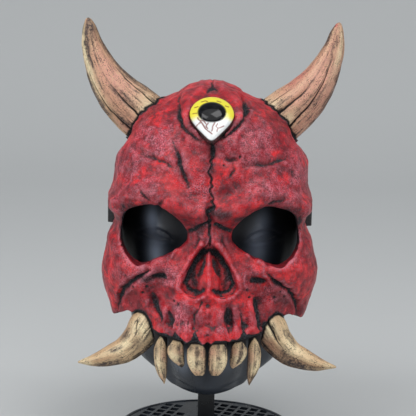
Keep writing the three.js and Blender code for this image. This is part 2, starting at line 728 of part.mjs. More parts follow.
function footSolid() {
  const outline = [
    new THREE.Vector2(0, 0),
    new THREE.Vector2(FOOT_RADIUS - FOOT_EDGE, 0),
    new THREE.Vector2(FOOT_RADIUS, FOOT_EDGE),
    new THREE.Vector2(FOOT_RADIUS, FOOT_THICKNESS - FOOT_EDGE),
    new THREE.Vector2(FOOT_RADIUS - FOOT_EDGE, FOOT_THICKNESS),
    new THREE.Vector2(0, FOOT_THICKNESS),
  ];
  const geometry = new THREE.LatheGeometry(outline, 48);
  geometry.rotateX(Math.PI / 2);
  return solid(geometry);
}

// The head's outermost place at a turn, over the height that the strap covers
function headUnderStrap(turn, stand) {
  const middleZ = up(STRAP_HEIGHT);
  return [-0.5, -0.25, 0, 0.25, 0.5]
    .map((share) => headPoint(turn, middleZ + share * STRAP_WIDTH, stand))
    .reduce((widest, point) => (
      Math.hypot(point.x, point.y) > Math.hypot(widest.x, widest.y) ? point : widest));
}

// Strap: from a slot in one temple, round the back of the head, to the other slot
function strapSolid(grow) {
  const middleZ = up(STRAP_HEIGHT);
  const [temple] = skullForm(middleZ, 0);
  const stand = HEAD_GAP + STRAP_THICKNESS / 2;
  const slotY = forward(STRAP_SLOT_FORWARD);
  const half = [];
  const inside = new THREE.Vector2(temple - SKULL_WALL - STRAP_TAIL, slotY - 1.5 * STRAP_THICKNESS);
  const outside = new THREE.Vector2(temple + stand, slotY + 2 * STRAP_THICKNESS);
  half.push(inside, new THREE.Vector2(temple - STRAP_THICKNESS / 2, slotY), outside);
  half.push(new THREE.Vector2(temple + stand + HEAD_GAP, forward(TEMPLE_EDGE_FORWARD)));
  for (const degrees of [95, 112, 130, 148, 165, 180]) {
    const point = headUnderStrap(THREE.MathUtils.degToRad(degrees), stand + HEAD_GAP);
    half.push(new THREE.Vector2(point.x, point.y));
  }
  half[half.length - 1].x = 0;
  const other = half.slice(0, -1).reverse().map((place) => new THREE.Vector2(-place.x, place.y));
  const line = [...half, ...other].map((place) => new THREE.Vector3(place.x, place.y, middleZ));
  const path = new THREE.CatmullRomCurve3(line, false, 'centripetal');
  const steps = 30;
  const [thin, tall] = [STRAP_THICKNESS / 2 + grow, STRAP_WIDTH / 2 + grow];
  const sections = [];
  for (let i = 0; i <= steps; i += 1) {
    const centre = path.getPointAt(i / steps);
    const along = path.getTangentAt(i / steps);
    const out = new THREE.Vector3(-along.y, along.x, 0).normalize();
    sections.push([[-1, -1], [1, -1], [1, 1], [-1, 1]].map(([a, b]) => centre.clone()
      .addScaledVector(out, a * thin)
      .add(new THREE.Vector3(0, 0, b * tall))));
  }
  return solid(new LoftGeometry(sections, { capStart: true, capEnd: true }));
}

// The mask: a carved shell, opened and seated for everything that it carries

// The inside follows the hollows of the face and thickens to a boss under each horn
function innerRelief(px, pz) {
  const away = Math.hypot(Math.abs(px) - across(HORN_BASE_ACROSS), pz - up(HORN_BASE_UP));
  return Math.min(carving(px, pz), 0) - BOSS_THICKNESS * bump(away, 1.15 * HORN_BASE_RADIUS);
}

function skullMask() {
  const outer = skullBlob(0, carving, turnsRound(13, 5, 2), levelsUp(up(-0.12), crownZ, 25, 9));
  const inner = skullBlob(SKULL_WALL, innerRelief, turnsRound(5, 4, 2),
    levelsUp(up(-0.3), crownZ - SKULL_WALL, 9, 6));
  const socket = socketCutter();
  let mask = outer.subtract(inner);
  for (const side of Object.values(SIDES)) mask = mask.add(tuskSeat(side).intersect(outer));
  mask = cut(mask, noseCutter()).add(septum());
  mask = cut(mask, backCutter(), lowerEdgeCutter(), socket, mirroredX(socket), headSolid(HEAD_GAP));
  mask = cut(mask, eyeCutter(), strapSolid(FIT_GAP));
  for (const side of Object.values(SIDES)) {
    mask = cut(mask, horn(side, FIT_GAP), tusk(side, FIT_GAP));
    for (const form of Object.values(TEETH)) mask = cut(mask, tooth(side, form, FIT_GAP));
  }
  return mask;
}

// Assembly

const part = new THREE.Group();

function place(name, manifold, finish) {
  const mesh = new THREE.Mesh(geometryOf(manifold), new THREE.MeshStandardMaterial(finish));
  mesh.name = name;
  part.add(mesh);
}

place('skull_mask', skullMask(), RED);
place('third_eye', cut(eyePlug(0), pupilSolid(FIT_GAP)), EYE_WHITE);
place('pupil', pupilSolid(0), GLOSS_BLACK);
for (const [name, side] of Object.entries(SIDES)) {
  place(`horn_${name}`, horn(side, 0), BONE);
  place(`tusk_${name}`, tusk(side, 0), BONE);
  for (const [kind, form] of Object.entries(TEETH)) {
    place(`${kind}_${name}`, tooth(side, form, 0), BONE);
  }
}
place('head_strap', strapSolid(0), STRAP_BLACK);
place('display_head', cut(headSolid(0), rodSolid(FIT_GAP)), SATIN_BLACK);
place('stand_rod', rodSolid(0), SATIN_BLACK);
place('stand_foot', cut(footSolid(), rodSolid(FIT_GAP)), SATIN_BLACK);

export default part;
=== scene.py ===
"""Dresses a horned skull mask on its display head: red bone, horns, tusks, teeth, eye and stand."""

import logging
import math
from dataclasses import dataclass
from enum import Enum
from typing import Callable

import bmesh
import bpy
import numpy as np
from mathutils import Matrix, Vector
from mathutils.bvhtree import BVHTree


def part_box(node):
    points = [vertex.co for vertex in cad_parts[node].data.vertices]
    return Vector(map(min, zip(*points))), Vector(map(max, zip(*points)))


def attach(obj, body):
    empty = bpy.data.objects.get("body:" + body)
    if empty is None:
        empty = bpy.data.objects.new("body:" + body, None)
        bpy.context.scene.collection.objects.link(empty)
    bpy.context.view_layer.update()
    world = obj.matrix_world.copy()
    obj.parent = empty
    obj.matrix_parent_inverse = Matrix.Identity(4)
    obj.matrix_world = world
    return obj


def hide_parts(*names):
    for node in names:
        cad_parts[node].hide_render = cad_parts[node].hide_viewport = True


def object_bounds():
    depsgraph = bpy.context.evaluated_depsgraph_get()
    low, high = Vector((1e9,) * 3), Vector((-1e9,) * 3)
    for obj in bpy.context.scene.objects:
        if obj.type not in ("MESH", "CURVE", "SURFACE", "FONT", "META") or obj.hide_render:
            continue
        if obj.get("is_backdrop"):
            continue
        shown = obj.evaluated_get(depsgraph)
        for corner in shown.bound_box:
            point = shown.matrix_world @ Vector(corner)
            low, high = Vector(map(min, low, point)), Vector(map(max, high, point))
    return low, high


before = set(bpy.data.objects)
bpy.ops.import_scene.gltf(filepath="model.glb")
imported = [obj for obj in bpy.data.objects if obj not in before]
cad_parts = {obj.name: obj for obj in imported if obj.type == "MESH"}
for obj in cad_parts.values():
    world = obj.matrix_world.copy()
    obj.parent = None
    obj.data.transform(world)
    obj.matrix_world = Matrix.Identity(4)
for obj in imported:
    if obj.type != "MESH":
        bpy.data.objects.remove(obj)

LOG = logging.getLogger("horned_mask")
MM = 0.001
ROOT_BODY = "root"

Array = np.ndarray
Piece = bpy.types.Object
Socket = bpy.types.NodeSocket
Place = tuple[float, float]
Row = tuple[float, ...]
Colour = tuple[float, float, float, float]
Feed = Socket | float | Colour


class Side(Enum):
    """The viewer's left or right, as the sign of X."""

    LEFT = -1
    RIGHT = 1

    @property
    def word(self) -> str:
        """The side's name as the frame's nodes spell it."""
        return self.name.lower()


# Numbers and points


def srgb(red: int, green: int, blue: int) -> Colour:
    """Turns a paint colour given as 0 to 255 into the linear colour that a shader takes.

    Args:
        red: Red share.
        green: Green share.
        blue: Blue share.

    Returns:
        The linear colour with full opacity.
    """
    shares = [value / 255 for value in (red, green, blue)]
    linear = [s / 12.92 if s <= 0.04045 else ((s + 0.055) / 1.055) ** 2.4 for s in shares]
    return (linear[0], linear[1], linear[2], 1.0)


def smoothstep(value: Array, low: float, high: float) -> Array:
    """Rises smoothly from 0 at low to 1 at high.

    Args:
        value: The values to read.
        low: Where the rise starts.
        high: Where it ends.

    Returns:
        The share for each value.
    """
    share = np.clip((value - low) / (high - low), 0.0, 1.0)
    return share * share * (3 - 2 * share)


def bell(distance: Array, radius: float) -> Array:
    """A smooth bump that is 1 at distance 0 and fades over a radius."""
    return np.exp(-((distance / radius) ** 2))


def spline(keys: list[list[float]], steps: int) -> Array:
    """Runs a smooth line through rows of numbers.

    Args:
        keys: The rows that the line goes through, evenly spaced in its share.
        steps: How many steps the line is cut into.

    Returns:
        One row of numbers for each step, both ends included.
    """
    rows = np.array([keys[0], *keys, keys[-1]], float)
    rows[0] = 2 * rows[1] - rows[2]
    rows[-1] = 2 * rows[-2] - rows[-3]
    share = np.linspace(0, len(keys) - 1, steps + 1)
    index = np.minimum(share.astype(int), len(keys) - 2)
    t = (share - index)[:, None]
    a, b, c, d = (rows[index + k] for k in range(4))
    square, cube = 2 * a - 5 * b + 4 * c - d, 3 * b - a - 3 * c + d
    return 0.5 * (2 * b + (c - a) * t + square * t**2 + cube * t**3)


class Grain:
    """Smooth seeded noise in space, read from a repeating lattice of random numbers."""

    LATTICE = 48
    LAYER_SHIFT = 7.3
    LOUDNESS = 1.6

    def __init__(self, seed: int) -> None:
        """Fills the lattice with random numbers from a seed."""
        rng = np.random.default_rng(seed)
        self.lattice = rng.uniform(-1, 1, (self.LATTICE,) * 3)

    def at(self, points: Array, size: float) -> Array:
        """Reads the noise.

        Args:
            points: Where to read it.
            size: The size of one lump, in the points' units.

        Returns:
            A value from -1 to 1 at each point.
        """
        scaled = points / size
        cell = np.floor(scaled).astype(int)
        share = scaled - cell
        share = share * share * (3 - 2 * share)
        total = np.zeros(len(points))
        for corner in np.ndindex(2, 2, 2):
            offset = np.array(corner)
            weight = np.prod(np.where(offset == 1, share, 1 - share), axis=1)
            x, y, z = ((cell + offset) % self.LATTICE).T
            total += weight * self.lattice[x, y, z]
        return total

    def layered(self, points: Array, size: float, layers: int) -> Array:
        """Adds finer and finer lumps.

        Args:
            points: Where to read the noise.
            size: The size of the largest lumps.
            layers: How many sizes are added, each half the one before.

        Returns:
            A value of about -1 to 1 at each point.
        """
        shift = self.LAYER_SHIFT * size
        total = sum(self.at(points + shift * k, size / 2**k) / 2**k for k in range(layers))
        return total / self.LOUDNESS

    def drift(self, points: Array, size: float, first: float, second: float) -> Array:
        """Two unlike noises side by side, which shift places in the front view."""
        return np.column_stack([self.layered(points + start, size, 3) for start in (first, second)])


def line_distance(flat: Array, places: tuple[Place, ...] | Array) -> tuple[Array, Array]:
    """Measures how far points lie from a run of straight stretches.

    Args:
        flat: Array in the plane.
        places: The run's corners, in the same units.

    Returns:
        The distance of each point, and the share of the run where it is nearest.
    """
    best = np.full(len(flat), np.inf)
    along = np.zeros(len(flat))
    corners = np.array(places, float)
    lengths = np.linalg.norm(np.diff(corners, axis=0), axis=1)
    starts = np.concatenate([[0], np.cumsum(lengths)])
    for i, length in enumerate(lengths):
        step = corners[i + 1] - corners[i]
        share = np.clip(((flat - corners[i]) @ step) / length**2, 0, 1)
        distance = np.linalg.norm(flat - corners[i] - share[:, None] * step, axis=1)
        nearer = distance < best
        best[nearer] = distance[nearer]
        along[nearer] = (starts[i] + share[nearer] * length) / starts[-1]
    return best, along


# Meshes


class Sculpt:
    """A mesh held as arrays while its surface is worked, in millimetres."""

    def __init__(self, piece: Piece) -> None:
        """Reads the piece's mesh.

        Args:
            piece: The object whose mesh is worked.
        """
        self.piece = piece
        mesh = piece.data
        self.points = np.empty(len(mesh.vertices) * 3)
        mesh.vertices.foreach_get("co", self.points)
        self.points = self.points.reshape(-1, 3) / MM
        self.edges = np.empty(len(mesh.edges) * 2, int)
        mesh.edges.foreach_get("vertices", self.edges)
        self.edges = self.edges.reshape(-1, 2)
        self.degree = np.maximum(np.bincount(self.edges.ravel(), minlength=len(self.points)), 1)

    @property
    def flat(self) -> Array:
        """The points in the front view: across and up."""
        return self.points[:, [0, 2]]

    def normals(self) -> Array:
        """Puts the points back and reads the surface's outward directions."""
        self.store()
        values = np.empty(len(self.points) * 3)
        self.piece.data.vertices.foreach_get("normal", values)
        return values.reshape(-1, 3)

    def store(self) -> None:
        """Writes the points back to the mesh."""
        self.piece.data.vertices.foreach_set("co", (self.points * MM).ravel())
        self.piece.data.update()

    def averaged(self, values: Array, rounds: int, weight: float = 0.5) -> Array:
        """Spreads values over the surface.

        Args:
            values: One row for each point.
            rounds: How often each point moves towards its neighbours.
            weight: How far it moves each time.

        Returns:
            The spread values.
        """
        spread = np.array(values, float).reshape(len(self.points), -1)
        first, second = self.edges.T
        for _ in range(rounds):
            for column in range(spread.shape[1]):
                value = spread[:, column]
                total = np.bincount(first, value[second], len(value))
                total = total + np.bincount(second, value[first], len(value))
                spread[:, column] = value + weight * (total / self.degree - value)
        return spread.reshape(values.shape)

    def cavity(self, rounds: int) -> Array:
        """Measures how far each point lies in a hollow, in millimetres.

        Args:
            rounds: How widely the surface around it is averaged.

        Returns:
            The depth at each point, below 0 on ridges.
        """
        smooth = self.averaged(self.points, rounds)
        return np.einsum("ij,ij->i", smooth - self.points, self.normals())

    def paint(self, name: str, values: Array) -> None:
        """Keeps one number for each point as an attribute that a finish can read.

        Args:
            name: The attribute's name.
            values: Its numbers.
        """
        mesh = self.piece.data
        layer = mesh.attributes.get(name) or mesh.attributes.new(name, "FLOAT", "POINT")
        layer.data.foreach_set("value", np.asarray(values, np.float32))


def link(name: str, data: bpy.types.ID) -> Piece:
    """Puts a mesh, a lamp or a camera into the scene.

    Args:
        name: The new object's name.
        data: What it holds; a mesh is in metres in the frame's own place.

    Returns:
        The new object, at the origin.
    """
    piece = bpy.data.objects.new(name, data)
    bpy.context.scene.collection.objects.link(piece)
    return piece


def poured(name: str, work: bmesh.types.BMesh) -> Piece:
    """Turns geometry into a piece as it is and frees it."""
    mesh = bpy.data.meshes.new(name)
    work.to_mesh(mesh)
    work.free()
    return link(name, mesh)


def from_bmesh(name: str, work: bmesh.types.BMesh, smooth: bool = True) -> Piece:
    """Turns worked geometry into a piece with its faces pointing out.

    Args:
        name: The piece's name.
        work: The geometry, which is freed.
        smooth: Whether its faces are shaded smooth.

    Returns:
        The new object.
    """
    bmesh.ops.remove_doubles(work, verts=work.verts, dist=1e-7)
    bmesh.ops.recalc_face_normals(work, faces=work.faces)
    for face in work.faces:
        face.smooth = smooth
    return poured(name, work)


def copy_of_node(node: str, name: str) -> Piece:
    """Copies a node of the frame as one merged surface.

    Args:
        node: The node's name.
        name: The copy's name.

    Returns:
        The copy.
    """
    work = bmesh.new()
    work.from_mesh(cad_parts[node].data)
    bmesh.ops.remove_doubles(work, verts=work.verts, dist=1e-6)
    return poured(name, work)


def turned(name: str, profile: list[Place], steps: int, place: Matrix | None = None) -> Piece:
    """Spins a profile of radius and height, in millimetres, round the upright axis.

    Args:
        name: The new piece's name.
        profile: The outline, which closes on itself or on the axis.
        steps: How many faces go round.
        place: Where the spun piece goes, or none to leave it on the axis.

    Returns:
        The new piece.
    """
    work = bmesh.new()
    verts = [work.verts.new((radius * MM, 0, height * MM)) for radius, height in profile]
    edges = [work.edges.new(pair) for pair in zip(verts, verts[1:])]
    bmesh.ops.spin(work, geom=verts + edges, cent=(0, 0, 0), axis=(0, 0, 1), angle=math.tau, steps=steps,
                   use_merge=True)
    if place is not None:
        bmesh.ops.transform(work, matrix=place, verts=work.verts)
    return from_bmesh(name, work)


def joined(piece: Piece, extras: list[Piece]) -> None:
    """Adds other pieces' meshes to a piece and takes those pieces away.

    Args:
        piece: The piece that grows.
        extras: The pieces that go into it.
    """
    work = bmesh.new()
    work.from_mesh(piece.data)
    for extra in extras:
        work.from_mesh(extra.data)
        bpy.data.objects.remove(extra)
    work.to_mesh(piece.data)
    work.free()


def settle(piece: Piece) -> None:
    """Applies a piece's modifiers to its mesh."""
    graph = bpy.context.evaluated_depsgraph_get()
    mesh = bpy.data.meshes.new_from_object(piece.evaluated_get(graph))
    piece.modifiers.clear()
    old = piece.data
    piece.data = mesh
    bpy.data.meshes.remove(old)


def refined(piece: Piece, cell: float, rounds: int) -> None:
    """Covers a piece with an even, finer surface and takes the facets off.

    Args:
        piece: The piece.
        cell: The size of the new faces, in millimetres.
        rounds: How often the surface is smoothed.
    """
    remesh = piece.modifiers.new("cells", "REMESH")
    remesh.mode = "VOXEL"
    remesh.voxel_size = cell * MM
    remesh.use_smooth_shade = True
    soften = piece.modifiers.new("soften", "SMOOTH")
    soften.factor = 0.5
    soften.iterations = rounds
    settle(piece)


@dataclass(frozen=True)
class Ring:
    """One section of a swept piece: its middle and its two half-width directions, in millimetres."""

    middle: Array
    wide: Array
    deep: Array
    squareness: float = 2.0


class Sweep:
    """A closed piece drawn through a row of rings, with its own coordinates along and around."""

    def __init__(self, rings: list[Ring], sides: int,
                 outline: Callable[[float, Ring], Place] | None = None) -> None:
        """Builds the surface by extruding a circle from ring to ring.

        Args:
            rings: The sections from the root to the tip.
            sides: How many faces go round.
            outline: Gives the place on a section for an angle, or none for a rounded one.
        """
        self.outline = outline or self._rounded
        self.work = bmesh.new()
        self.share = self.work.verts.layers.float.new("along")
        self.turn = self.work.verts.layers.float.new("turn")
        circle = bmesh.ops.create_circle(self.work, cap_ends=True, segments=sides, radius=1.0)
        loop = sorted(circle["verts"], key=lambda vert: math.atan2(vert.co.y, vert.co.x) % (2 * math.pi))
        self.angles = [math.atan2(vert.co.y, vert.co.x) for vert in loop]
        self._lay(loop, rings[0], 0.0)
        for index, ring in enumerate(rings[1:], 1):
            grown = bmesh.ops.extrude_edge_only(self.work, edges=self._loop_edges(loop))
            fresh = {vert for vert in grown["geom"] if isinstance(vert, bmesh.types.BMVert)}
            loop = [self._partner(vert, fresh) for vert in loop]
            self._lay(loop, ring, index / (len(rings) - 1))
        self.work.faces.new(loop)

    @staticmethod
    def _rounded(angle: float, ring: Ring) -> Place:
        """A place on a circle that is squared off as the ring says."""
        power = 2 / ring.squareness
        cosine, sine = math.cos(angle), math.sin(angle)
        return math.copysign(abs(cosine) ** power, cosine), math.copysign(abs(sine) ** power, sine)

    @staticmethod
    def _loop_edges(loop: list[bmesh.types.BMVert]) -> list[bmesh.types.BMEdge]:
        """Finds the edges between the neighbours of a ring of vertices."""
        edges = []
        for first, second in zip(loop, loop[1:] + loop[:1]):
            edges.append(next(edge for edge in first.link_edges if edge.other_vert(first) is second))
        return edges

    @staticmethod
    def _partner(vert: bmesh.types.BMVert, fresh: set[bmesh.types.BMVert]) -> bmesh.types.BMVert:
        """Finds the vertex that was extruded from this one."""
        return next(edge.other_vert(vert) for edge in vert.link_edges if edge.other_vert(vert) in fresh)

    def _lay(self, loop: list[bmesh.types.BMVert], ring: Ring, share: float) -> None:
        """Moves a ring of vertices into place.

        Args:
            loop: The vertices in order round the ring.
            ring: Where they go.
            share: How far along the piece they are.
        """
        for vert, angle in zip(loop, self.angles):
            reach, rise = self.outline(angle, ring)
            vert.co = Vector((ring.middle + reach * ring.wide + rise * ring.deep) * MM)
            vert[self.share] = share
            vert[self.turn] = angle

    def piece(self, name: str) -> Piece:
        """Hands over the swept surface as a piece with the attributes along and turn."""
        return from_bmesh(name, self.work)


def tree_of(piece: Piece) -> BVHTree:
    """A search tree over a piece's faces, in metres."""
    mesh = piece.data
    places = [vert.co for vert in mesh.vertices]
    return BVHTree.FromPolygons(places, [face.vertices for face in mesh.polygons])


@dataclass(frozen=True)
class Seam:
    """Painted shade between two pieces, darkest at the joint: full up to near, gone at reach, in
    millimetres.
    """

    near: float
    reach: float
    strength: float = 0.95


def darken_seam(piece: Piece, other: Piece, seam: Seam) -> None:
    """Adds painted shade to a piece where it comes close to another.

    Args:
        piece: The piece whose ink is changed.
        other: The piece that it meets.
        seam: How wide and dark the painted shade is.
    """
    sculpt = Sculpt(piece)
    corners = np.array([vert.co for vert in other.data.vertices]) / MM
    low, high = corners.min(axis=0) - seam.reach, corners.max(axis=0) + seam.reach
    close = np.flatnonzero(((sculpt.points > low) & (sculpt.points < high)).all(axis=1))
    tree = tree_of(other)
    gap = np.full(len(sculpt.points), seam.reach)
    for index in close:
        found = tree.find_nearest(Vector(sculpt.points[index] * MM), seam.reach * MM)
        if found[3] is not None:
            gap[index] = found[3] / MM
    ink = read_layer(piece, "ink")
    sculpt.paint("ink", np.maximum(ink, seam.strength * (1 - smoothstep(gap, seam.near, seam.reach))))


def read_layer(piece: Piece, name: str) -> Array:
    """Reads one number for each point from an attribute of a piece."""
    values = np.empty(len(piece.data.vertices), np.float32)
    piece.data.attributes[name].data.foreach_get("value", values)
    return values.astype(float)


# Finishes


class Board:
    """A material's node sheet with the few nodes that the finishes are made of."""

    MIX_INPUTS = (0, 6, 7)
    MIX_OUTPUT = 2

    def __init__(self, name: str) -> None:
        """Starts an empty sheet with one shader.

        Args:
            name: The material's name.
        """
        self.material = bpy.data.materials.new(name)
        self.material.use_nodes = True
        tree = self.material.node_tree
        tree.nodes.clear()
        self.nodes = tree.nodes
        self.links = tree.links
        self.shader = self.nodes.new("ShaderNodeBsdfPrincipled")
        output = self.nodes.new("ShaderNodeOutputMaterial")
        self.links.new(self.shader.outputs["BSDF"], output.inputs["Surface"])
        self.place = self.nodes.new("ShaderNodeTexCoord").outputs["Object"]

    def feed(self, socket: Socket, value: Feed) -> None:
        """Gives a socket either a link or a plain value."""
        if isinstance(value, Socket):
            self.links.new(value, socket)
        else:
            socket.default_value = value

    def attribute(self, name: str) -> Socket:
        """Reads one of the piece's painted numbers."""
        node = self.nodes.new("ShaderNodeAttribute")
        node.attribute_name = name
        return node.outputs["Fac"]

    def vector(self, x: Feed, y: Feed, z: Feed) -> Socket:
        """Joins three numbers into a place."""
        node = self.nodes.new("ShaderNodeCombineXYZ")
        for socket, value in zip(node.inputs, (x, y, z)):
            self.feed(socket, value)
        return node.outputs["Vector"]

    def noise(self, size: float, detail: float = 2.0, rough: float = 0.5,
              place: Socket | None = None, warp: float = 0.0) -> Socket:
        """Cloudy noise.

        Args:
            size: The size of one cloud in millimetres.
            detail: How many finer layers are added.
            rough: How strong the finer layers are.
            place: Where it is read, or the object's own coordinates.
            warp: How much it is distorted.

        Returns:
            The noise, about 0 to 1.
        """
        node = self.nodes.new("ShaderNodeTexNoise")
        self.feed(node.inputs["Vector"], place or self.place)
        node.inputs["Scale"].default_value = 1 / (size * MM)
        node.inputs["Detail"].default_value = detail
        node.inputs["Roughness"].default_value = rough
        node.inputs["Distortion"].default_value = warp
        return node.outputs["Fac"]

    def span(self, value: Feed, low: float, high: float, start: float = 0.0,
             end: float = 1.0) -> Socket:
        """Maps low and high smoothly to start and end.

        Args:
            value: What is mapped.
            low: The value that gives start.
            high: The value that gives end.
            start: The first result.
            end: The last result.

        Returns:
            The result's socket.
        """
        node = self.nodes.new("ShaderNodeMapRange")
        node.interpolation_type = "SMOOTHSTEP"
        for name, number in (("Value", value), ("From Min", low), ("From Max", high),
                             ("To Min", start), ("To Max", end)):
            self.feed(node.inputs[name], number)
        return node.outputs["Result"]

    def maths(self, operation: str, first: Feed, second: Feed) -> Socket:
        """Joins two numbers by an operation, held between 0 and 1.

        Args:
            operation: The node's name for it.
            first: The first number.
            second: The second number.

        Returns:
            The result's socket.
        """
        node = self.nodes.new("ShaderNodeMath")
        node.operation = operation
        node.use_clamp = True
        self.feed(node.inputs[0], first)
        self.feed(node.inputs[1], second)
        return node.outputs["Value"]

    def times(self, first: Feed, second: Feed) -> Socket:
        """The product of two shares."""
        return self.maths("MULTIPLY", first, second)

    def plus(self, first: Feed, second: Feed) -> Socket:
        """The sum of two shares, at most 1."""
        return self.maths("ADD", first, second)

    def mix(self, share: Feed, under: Feed, over: Feed) -> Socket:
        """Lays one colour over another by a share.

        Args:
            share: How much of the upper colour shows.
            under: The lower colour.
            over: The upper colour.

        Returns:
            The mixed colour's socket.
        """
        node = self.nodes.new("ShaderNodeMix")
        node.data_type = "RGBA"
        node.clamp_factor = True
        for index, value in zip(self.MIX_INPUTS, (share, under, over)):
            self.feed(node.inputs[index], value)
        return node.outputs[self.MIX_OUTPUT]

    def bump(self, height: Socket, depth: float,
             under: Socket | None = None) -> Socket:
        """Turns a height into relief.

        Args:
            height: The height, 0 to 1.
            depth: What 1 stands for in millimetres.
            under: Relief that this one is added to.

        Returns:
            The surface direction.
        """
        node = self.nodes.new("ShaderNodeBump")
        node.inputs["Distance"].default_value = depth * MM
        self.feed(node.inputs["Height"], height)
        if under is not None:
            self.feed(node.inputs["Normal"], under)
        return node.outputs["Normal"]

    def finish(self, colour: Feed, roughness: Feed, normal: Socket | None = None,
               **constants: float) -> bpy.types.Material:
        """Connects the shader.

        Args:
            colour: The base colour.
            roughness: The roughness.
            normal: The relief, if there is any.
            **constants: Plain numbers for other sockets, with _ for each space of the name.

        Returns:
            The material.
        """
        self.feed(self.shader.inputs["Base Color"], colour)
        self.feed(self.shader.inputs["Roughness"], roughness)
        if normal is not None:
            self.feed(self.shader.inputs["Normal"], normal)
        for name, number in constants.items():
            self.shader.inputs[name.replace("_", " ")].default_value = number
        return self.material


@dataclass(frozen=True)
class RedBone:
    """Cast red bone: mottled red paint, a black wash and painted shade in the hollows, painted highlights
    and a pink dry-brush on top.
    """

    base: Colour = srgb(142, 24, 36)
    bright: Colour = srgb(228, 34, 40)
    wine: Colour = srgb(66, 24, 33)
    pink: Colour = srgb(212, 122, 136)
    rose: Colour = srgb(190, 76, 90)
    ink: Colour = srgb(22, 22, 26)
    slate: Colour = srgb(70, 70, 76)

    def make(self) -> bpy.types.Material:
        """Builds the material, which reads the attributes ink, hollow, crease, dry and glow.

        Returns:
            The skull's material.
        """
        board = Board("red_bone")
        ink = board.span(board.attribute("ink"), 0.0, 0.88)
        hollow = board.attribute("hollow")
        crease = board.attribute("crease")
        dry = board.attribute("dry")
        glow = board.attribute("glow")
        patches = board.noise(14, 4, 0.6, warp=0.4)
        clouds = board.noise(6, 4, 0.7)
        speckle = board.noise(1.3, 3, 0.75)
        grit = board.noise(0.8, 2, 0.6)
        scuffs = board.noise(2.6, 3, 0.6, warp=0.8)
        colour = board.mix(board.span(patches, 0.46, 0.7), self.base, self.bright)
        colour = board.mix(board.span(dry, 0.15, 0.75, 0, 0.8), colour, self.rose)
        # brighter red paint and painted highlights on ridges and bulges
        colour = board.mix(glow, colour, self.bright)
        mottle = board.times(board.span(clouds, 0.44, 0.62), board.span(speckle, 0.34, 0.56, 0.35, 1))
        mottle = board.times(mottle, board.span(glow, 0.1, 0.8, 0.85, 0.25))
        colour = board.mix(mottle, colour, self.wine)
        raised = board.span(crease, 0.02, -0.12)
        dust = board.span(board.plus(speckle, board.times(raised, 0.12)), 0.46, 0.62)
        colour = board.mix(board.times(dry, dust), colour, self.pink)
        holes = board.times(board.span(grit, 0.53, 0.63), board.span(dry, 0.1, 0.6, 0.3, 0.9))
        colour = board.mix(holes, colour, self.ink)
        edge = board.times(board.span(crease, -0.08, -0.26), board.span(scuffs, 0.35, 0.6))
        edge = board.times(edge, board.span(clouds, 0.4, 0.6, 0.1, 0.7))
        colour = board.mix(edge, colour, self.pink)
        # painted shade: broad hollows and creases darken towards the black wash colour
        shade = board.plus(board.span(hollow, 0.2, 1.5, 0, 0.8), board.span(crease, 0.05, 0.26, 0, 0.85))
        shade = board.times(shade, board.span(scuffs, 0.25, 0.6, 0.55, 1))
        wash = board.mix(board.span(speckle, 0.42, 0.7), self.ink, self.slate)
        colour = board.mix(board.maths("MAXIMUM", shade, ink), colour, wash)
        relief = board.bump(speckle, 0.25)
        relief = board.bump(clouds, 0.6, relief)
        rough = board.plus(board.span(clouds, 0.3, 0.7, 0.34, 0.52), board.times(ink, 0.45))
        return board.finish(colour, rough, relief, Specular_IOR_Level=0.34)


class Hue(Enum):
    """The paints that are brushed over bone, named as the finish reads them; the dark one is partly
    painted shade.
    """

    CREAM = "cream"
    BLUSH = "blush"
    ROSE = "rose"
    SMOKE = "smoke"


@dataclass(frozen=True)
class AgedBone:
    """Painted horn and tooth: tan with cream lights, dark streaks along it, black specks and painted shade
    in its hollows.
    """

    tan: Colour = srgb(188, 150, 114)
    light: Colour = srgb(222, 192, 150)
    cream: Colour = srgb(244, 226, 184)
    blush: Colour = srgb(218, 160, 140)
    rose: Colour = srgb(190, 70, 84)
    smoke: Colour = srgb(60, 46, 46)
    ink: Colour = srgb(24, 20, 20)

    def make(self) -> bpy.types.Material:
        """Builds the material, which reads around_x, around_y, length, ink, hollow and the tints.

        Returns:
            The bone's material.
        """
        board = Board("aged_bone")
        place = board.vector(*(board.attribute(name) for name in ("around_x", "around_y", "length")))
        streaks = board.noise(2.2, 4, 0.65, place)
        bands = board.noise(9, 3, 0.6, place)
        specks = board.noise(0.9, 2, 0.6)
        scuffs = board.noise(1.8, 3, 0.65)
        clouds = board.noise(7, 3, 0.6)
        colour = board.mix(board.span(bands, 0.4, 0.66), self.tan, self.light)
        worn = board.span(scuffs, 0.3, 0.55, 0.45, 1)
        for hue, paint in ((Hue.BLUSH, self.blush), (Hue.CREAM, self.cream), (Hue.ROSE, self.rose)):
            colour = board.mix(board.times(board.attribute(hue.value), worn), colour, paint)
        dirt = board.times(board.span(streaks, 0.48, 0.66), board.span(clouds, 0.35, 0.6, 0.25, 0.9))
        colour = board.mix(dirt, colour, self.smoke)
        # dark stains, and painted shade along the pieces' edges
        smoke = board.times(board.span(board.attribute(Hue.SMOKE.value), 0.05, 0.7),
                            board.span(scuffs, 0.3, 0.6, 0.35, 1))
        colour = board.mix(smoke, colour, self.smoke)
        fleck = board.times(board.span(specks, 0.56, 0.64), board.span(clouds, 0.38, 0.6, 0.25, 0.95))
        colour = board.mix(fleck, colour, self.ink)
        # painted shade in the hollows, together with the ink, which also carries painted shade low on the
        # piece and at seams
        wash = board.maths("MAXIMUM", board.span(board.attribute("hollow"), 0.08, 0.4, 0, 0.95),
                           board.span(board.attribute("ink"), 0.0, 0.9))
        colour = board.mix(wash, colour, self.ink)
        relief = board.bump(streaks, 0.3)
        relief = board.bump(specks, 0.1, relief)
        rough = board.plus(board.span(clouds, 0.3, 0.7, 0.36, 0.52), board.times(wash, 0.4))
        return board.finish(colour, rough, relief, Specular_IOR_Level=0.4)


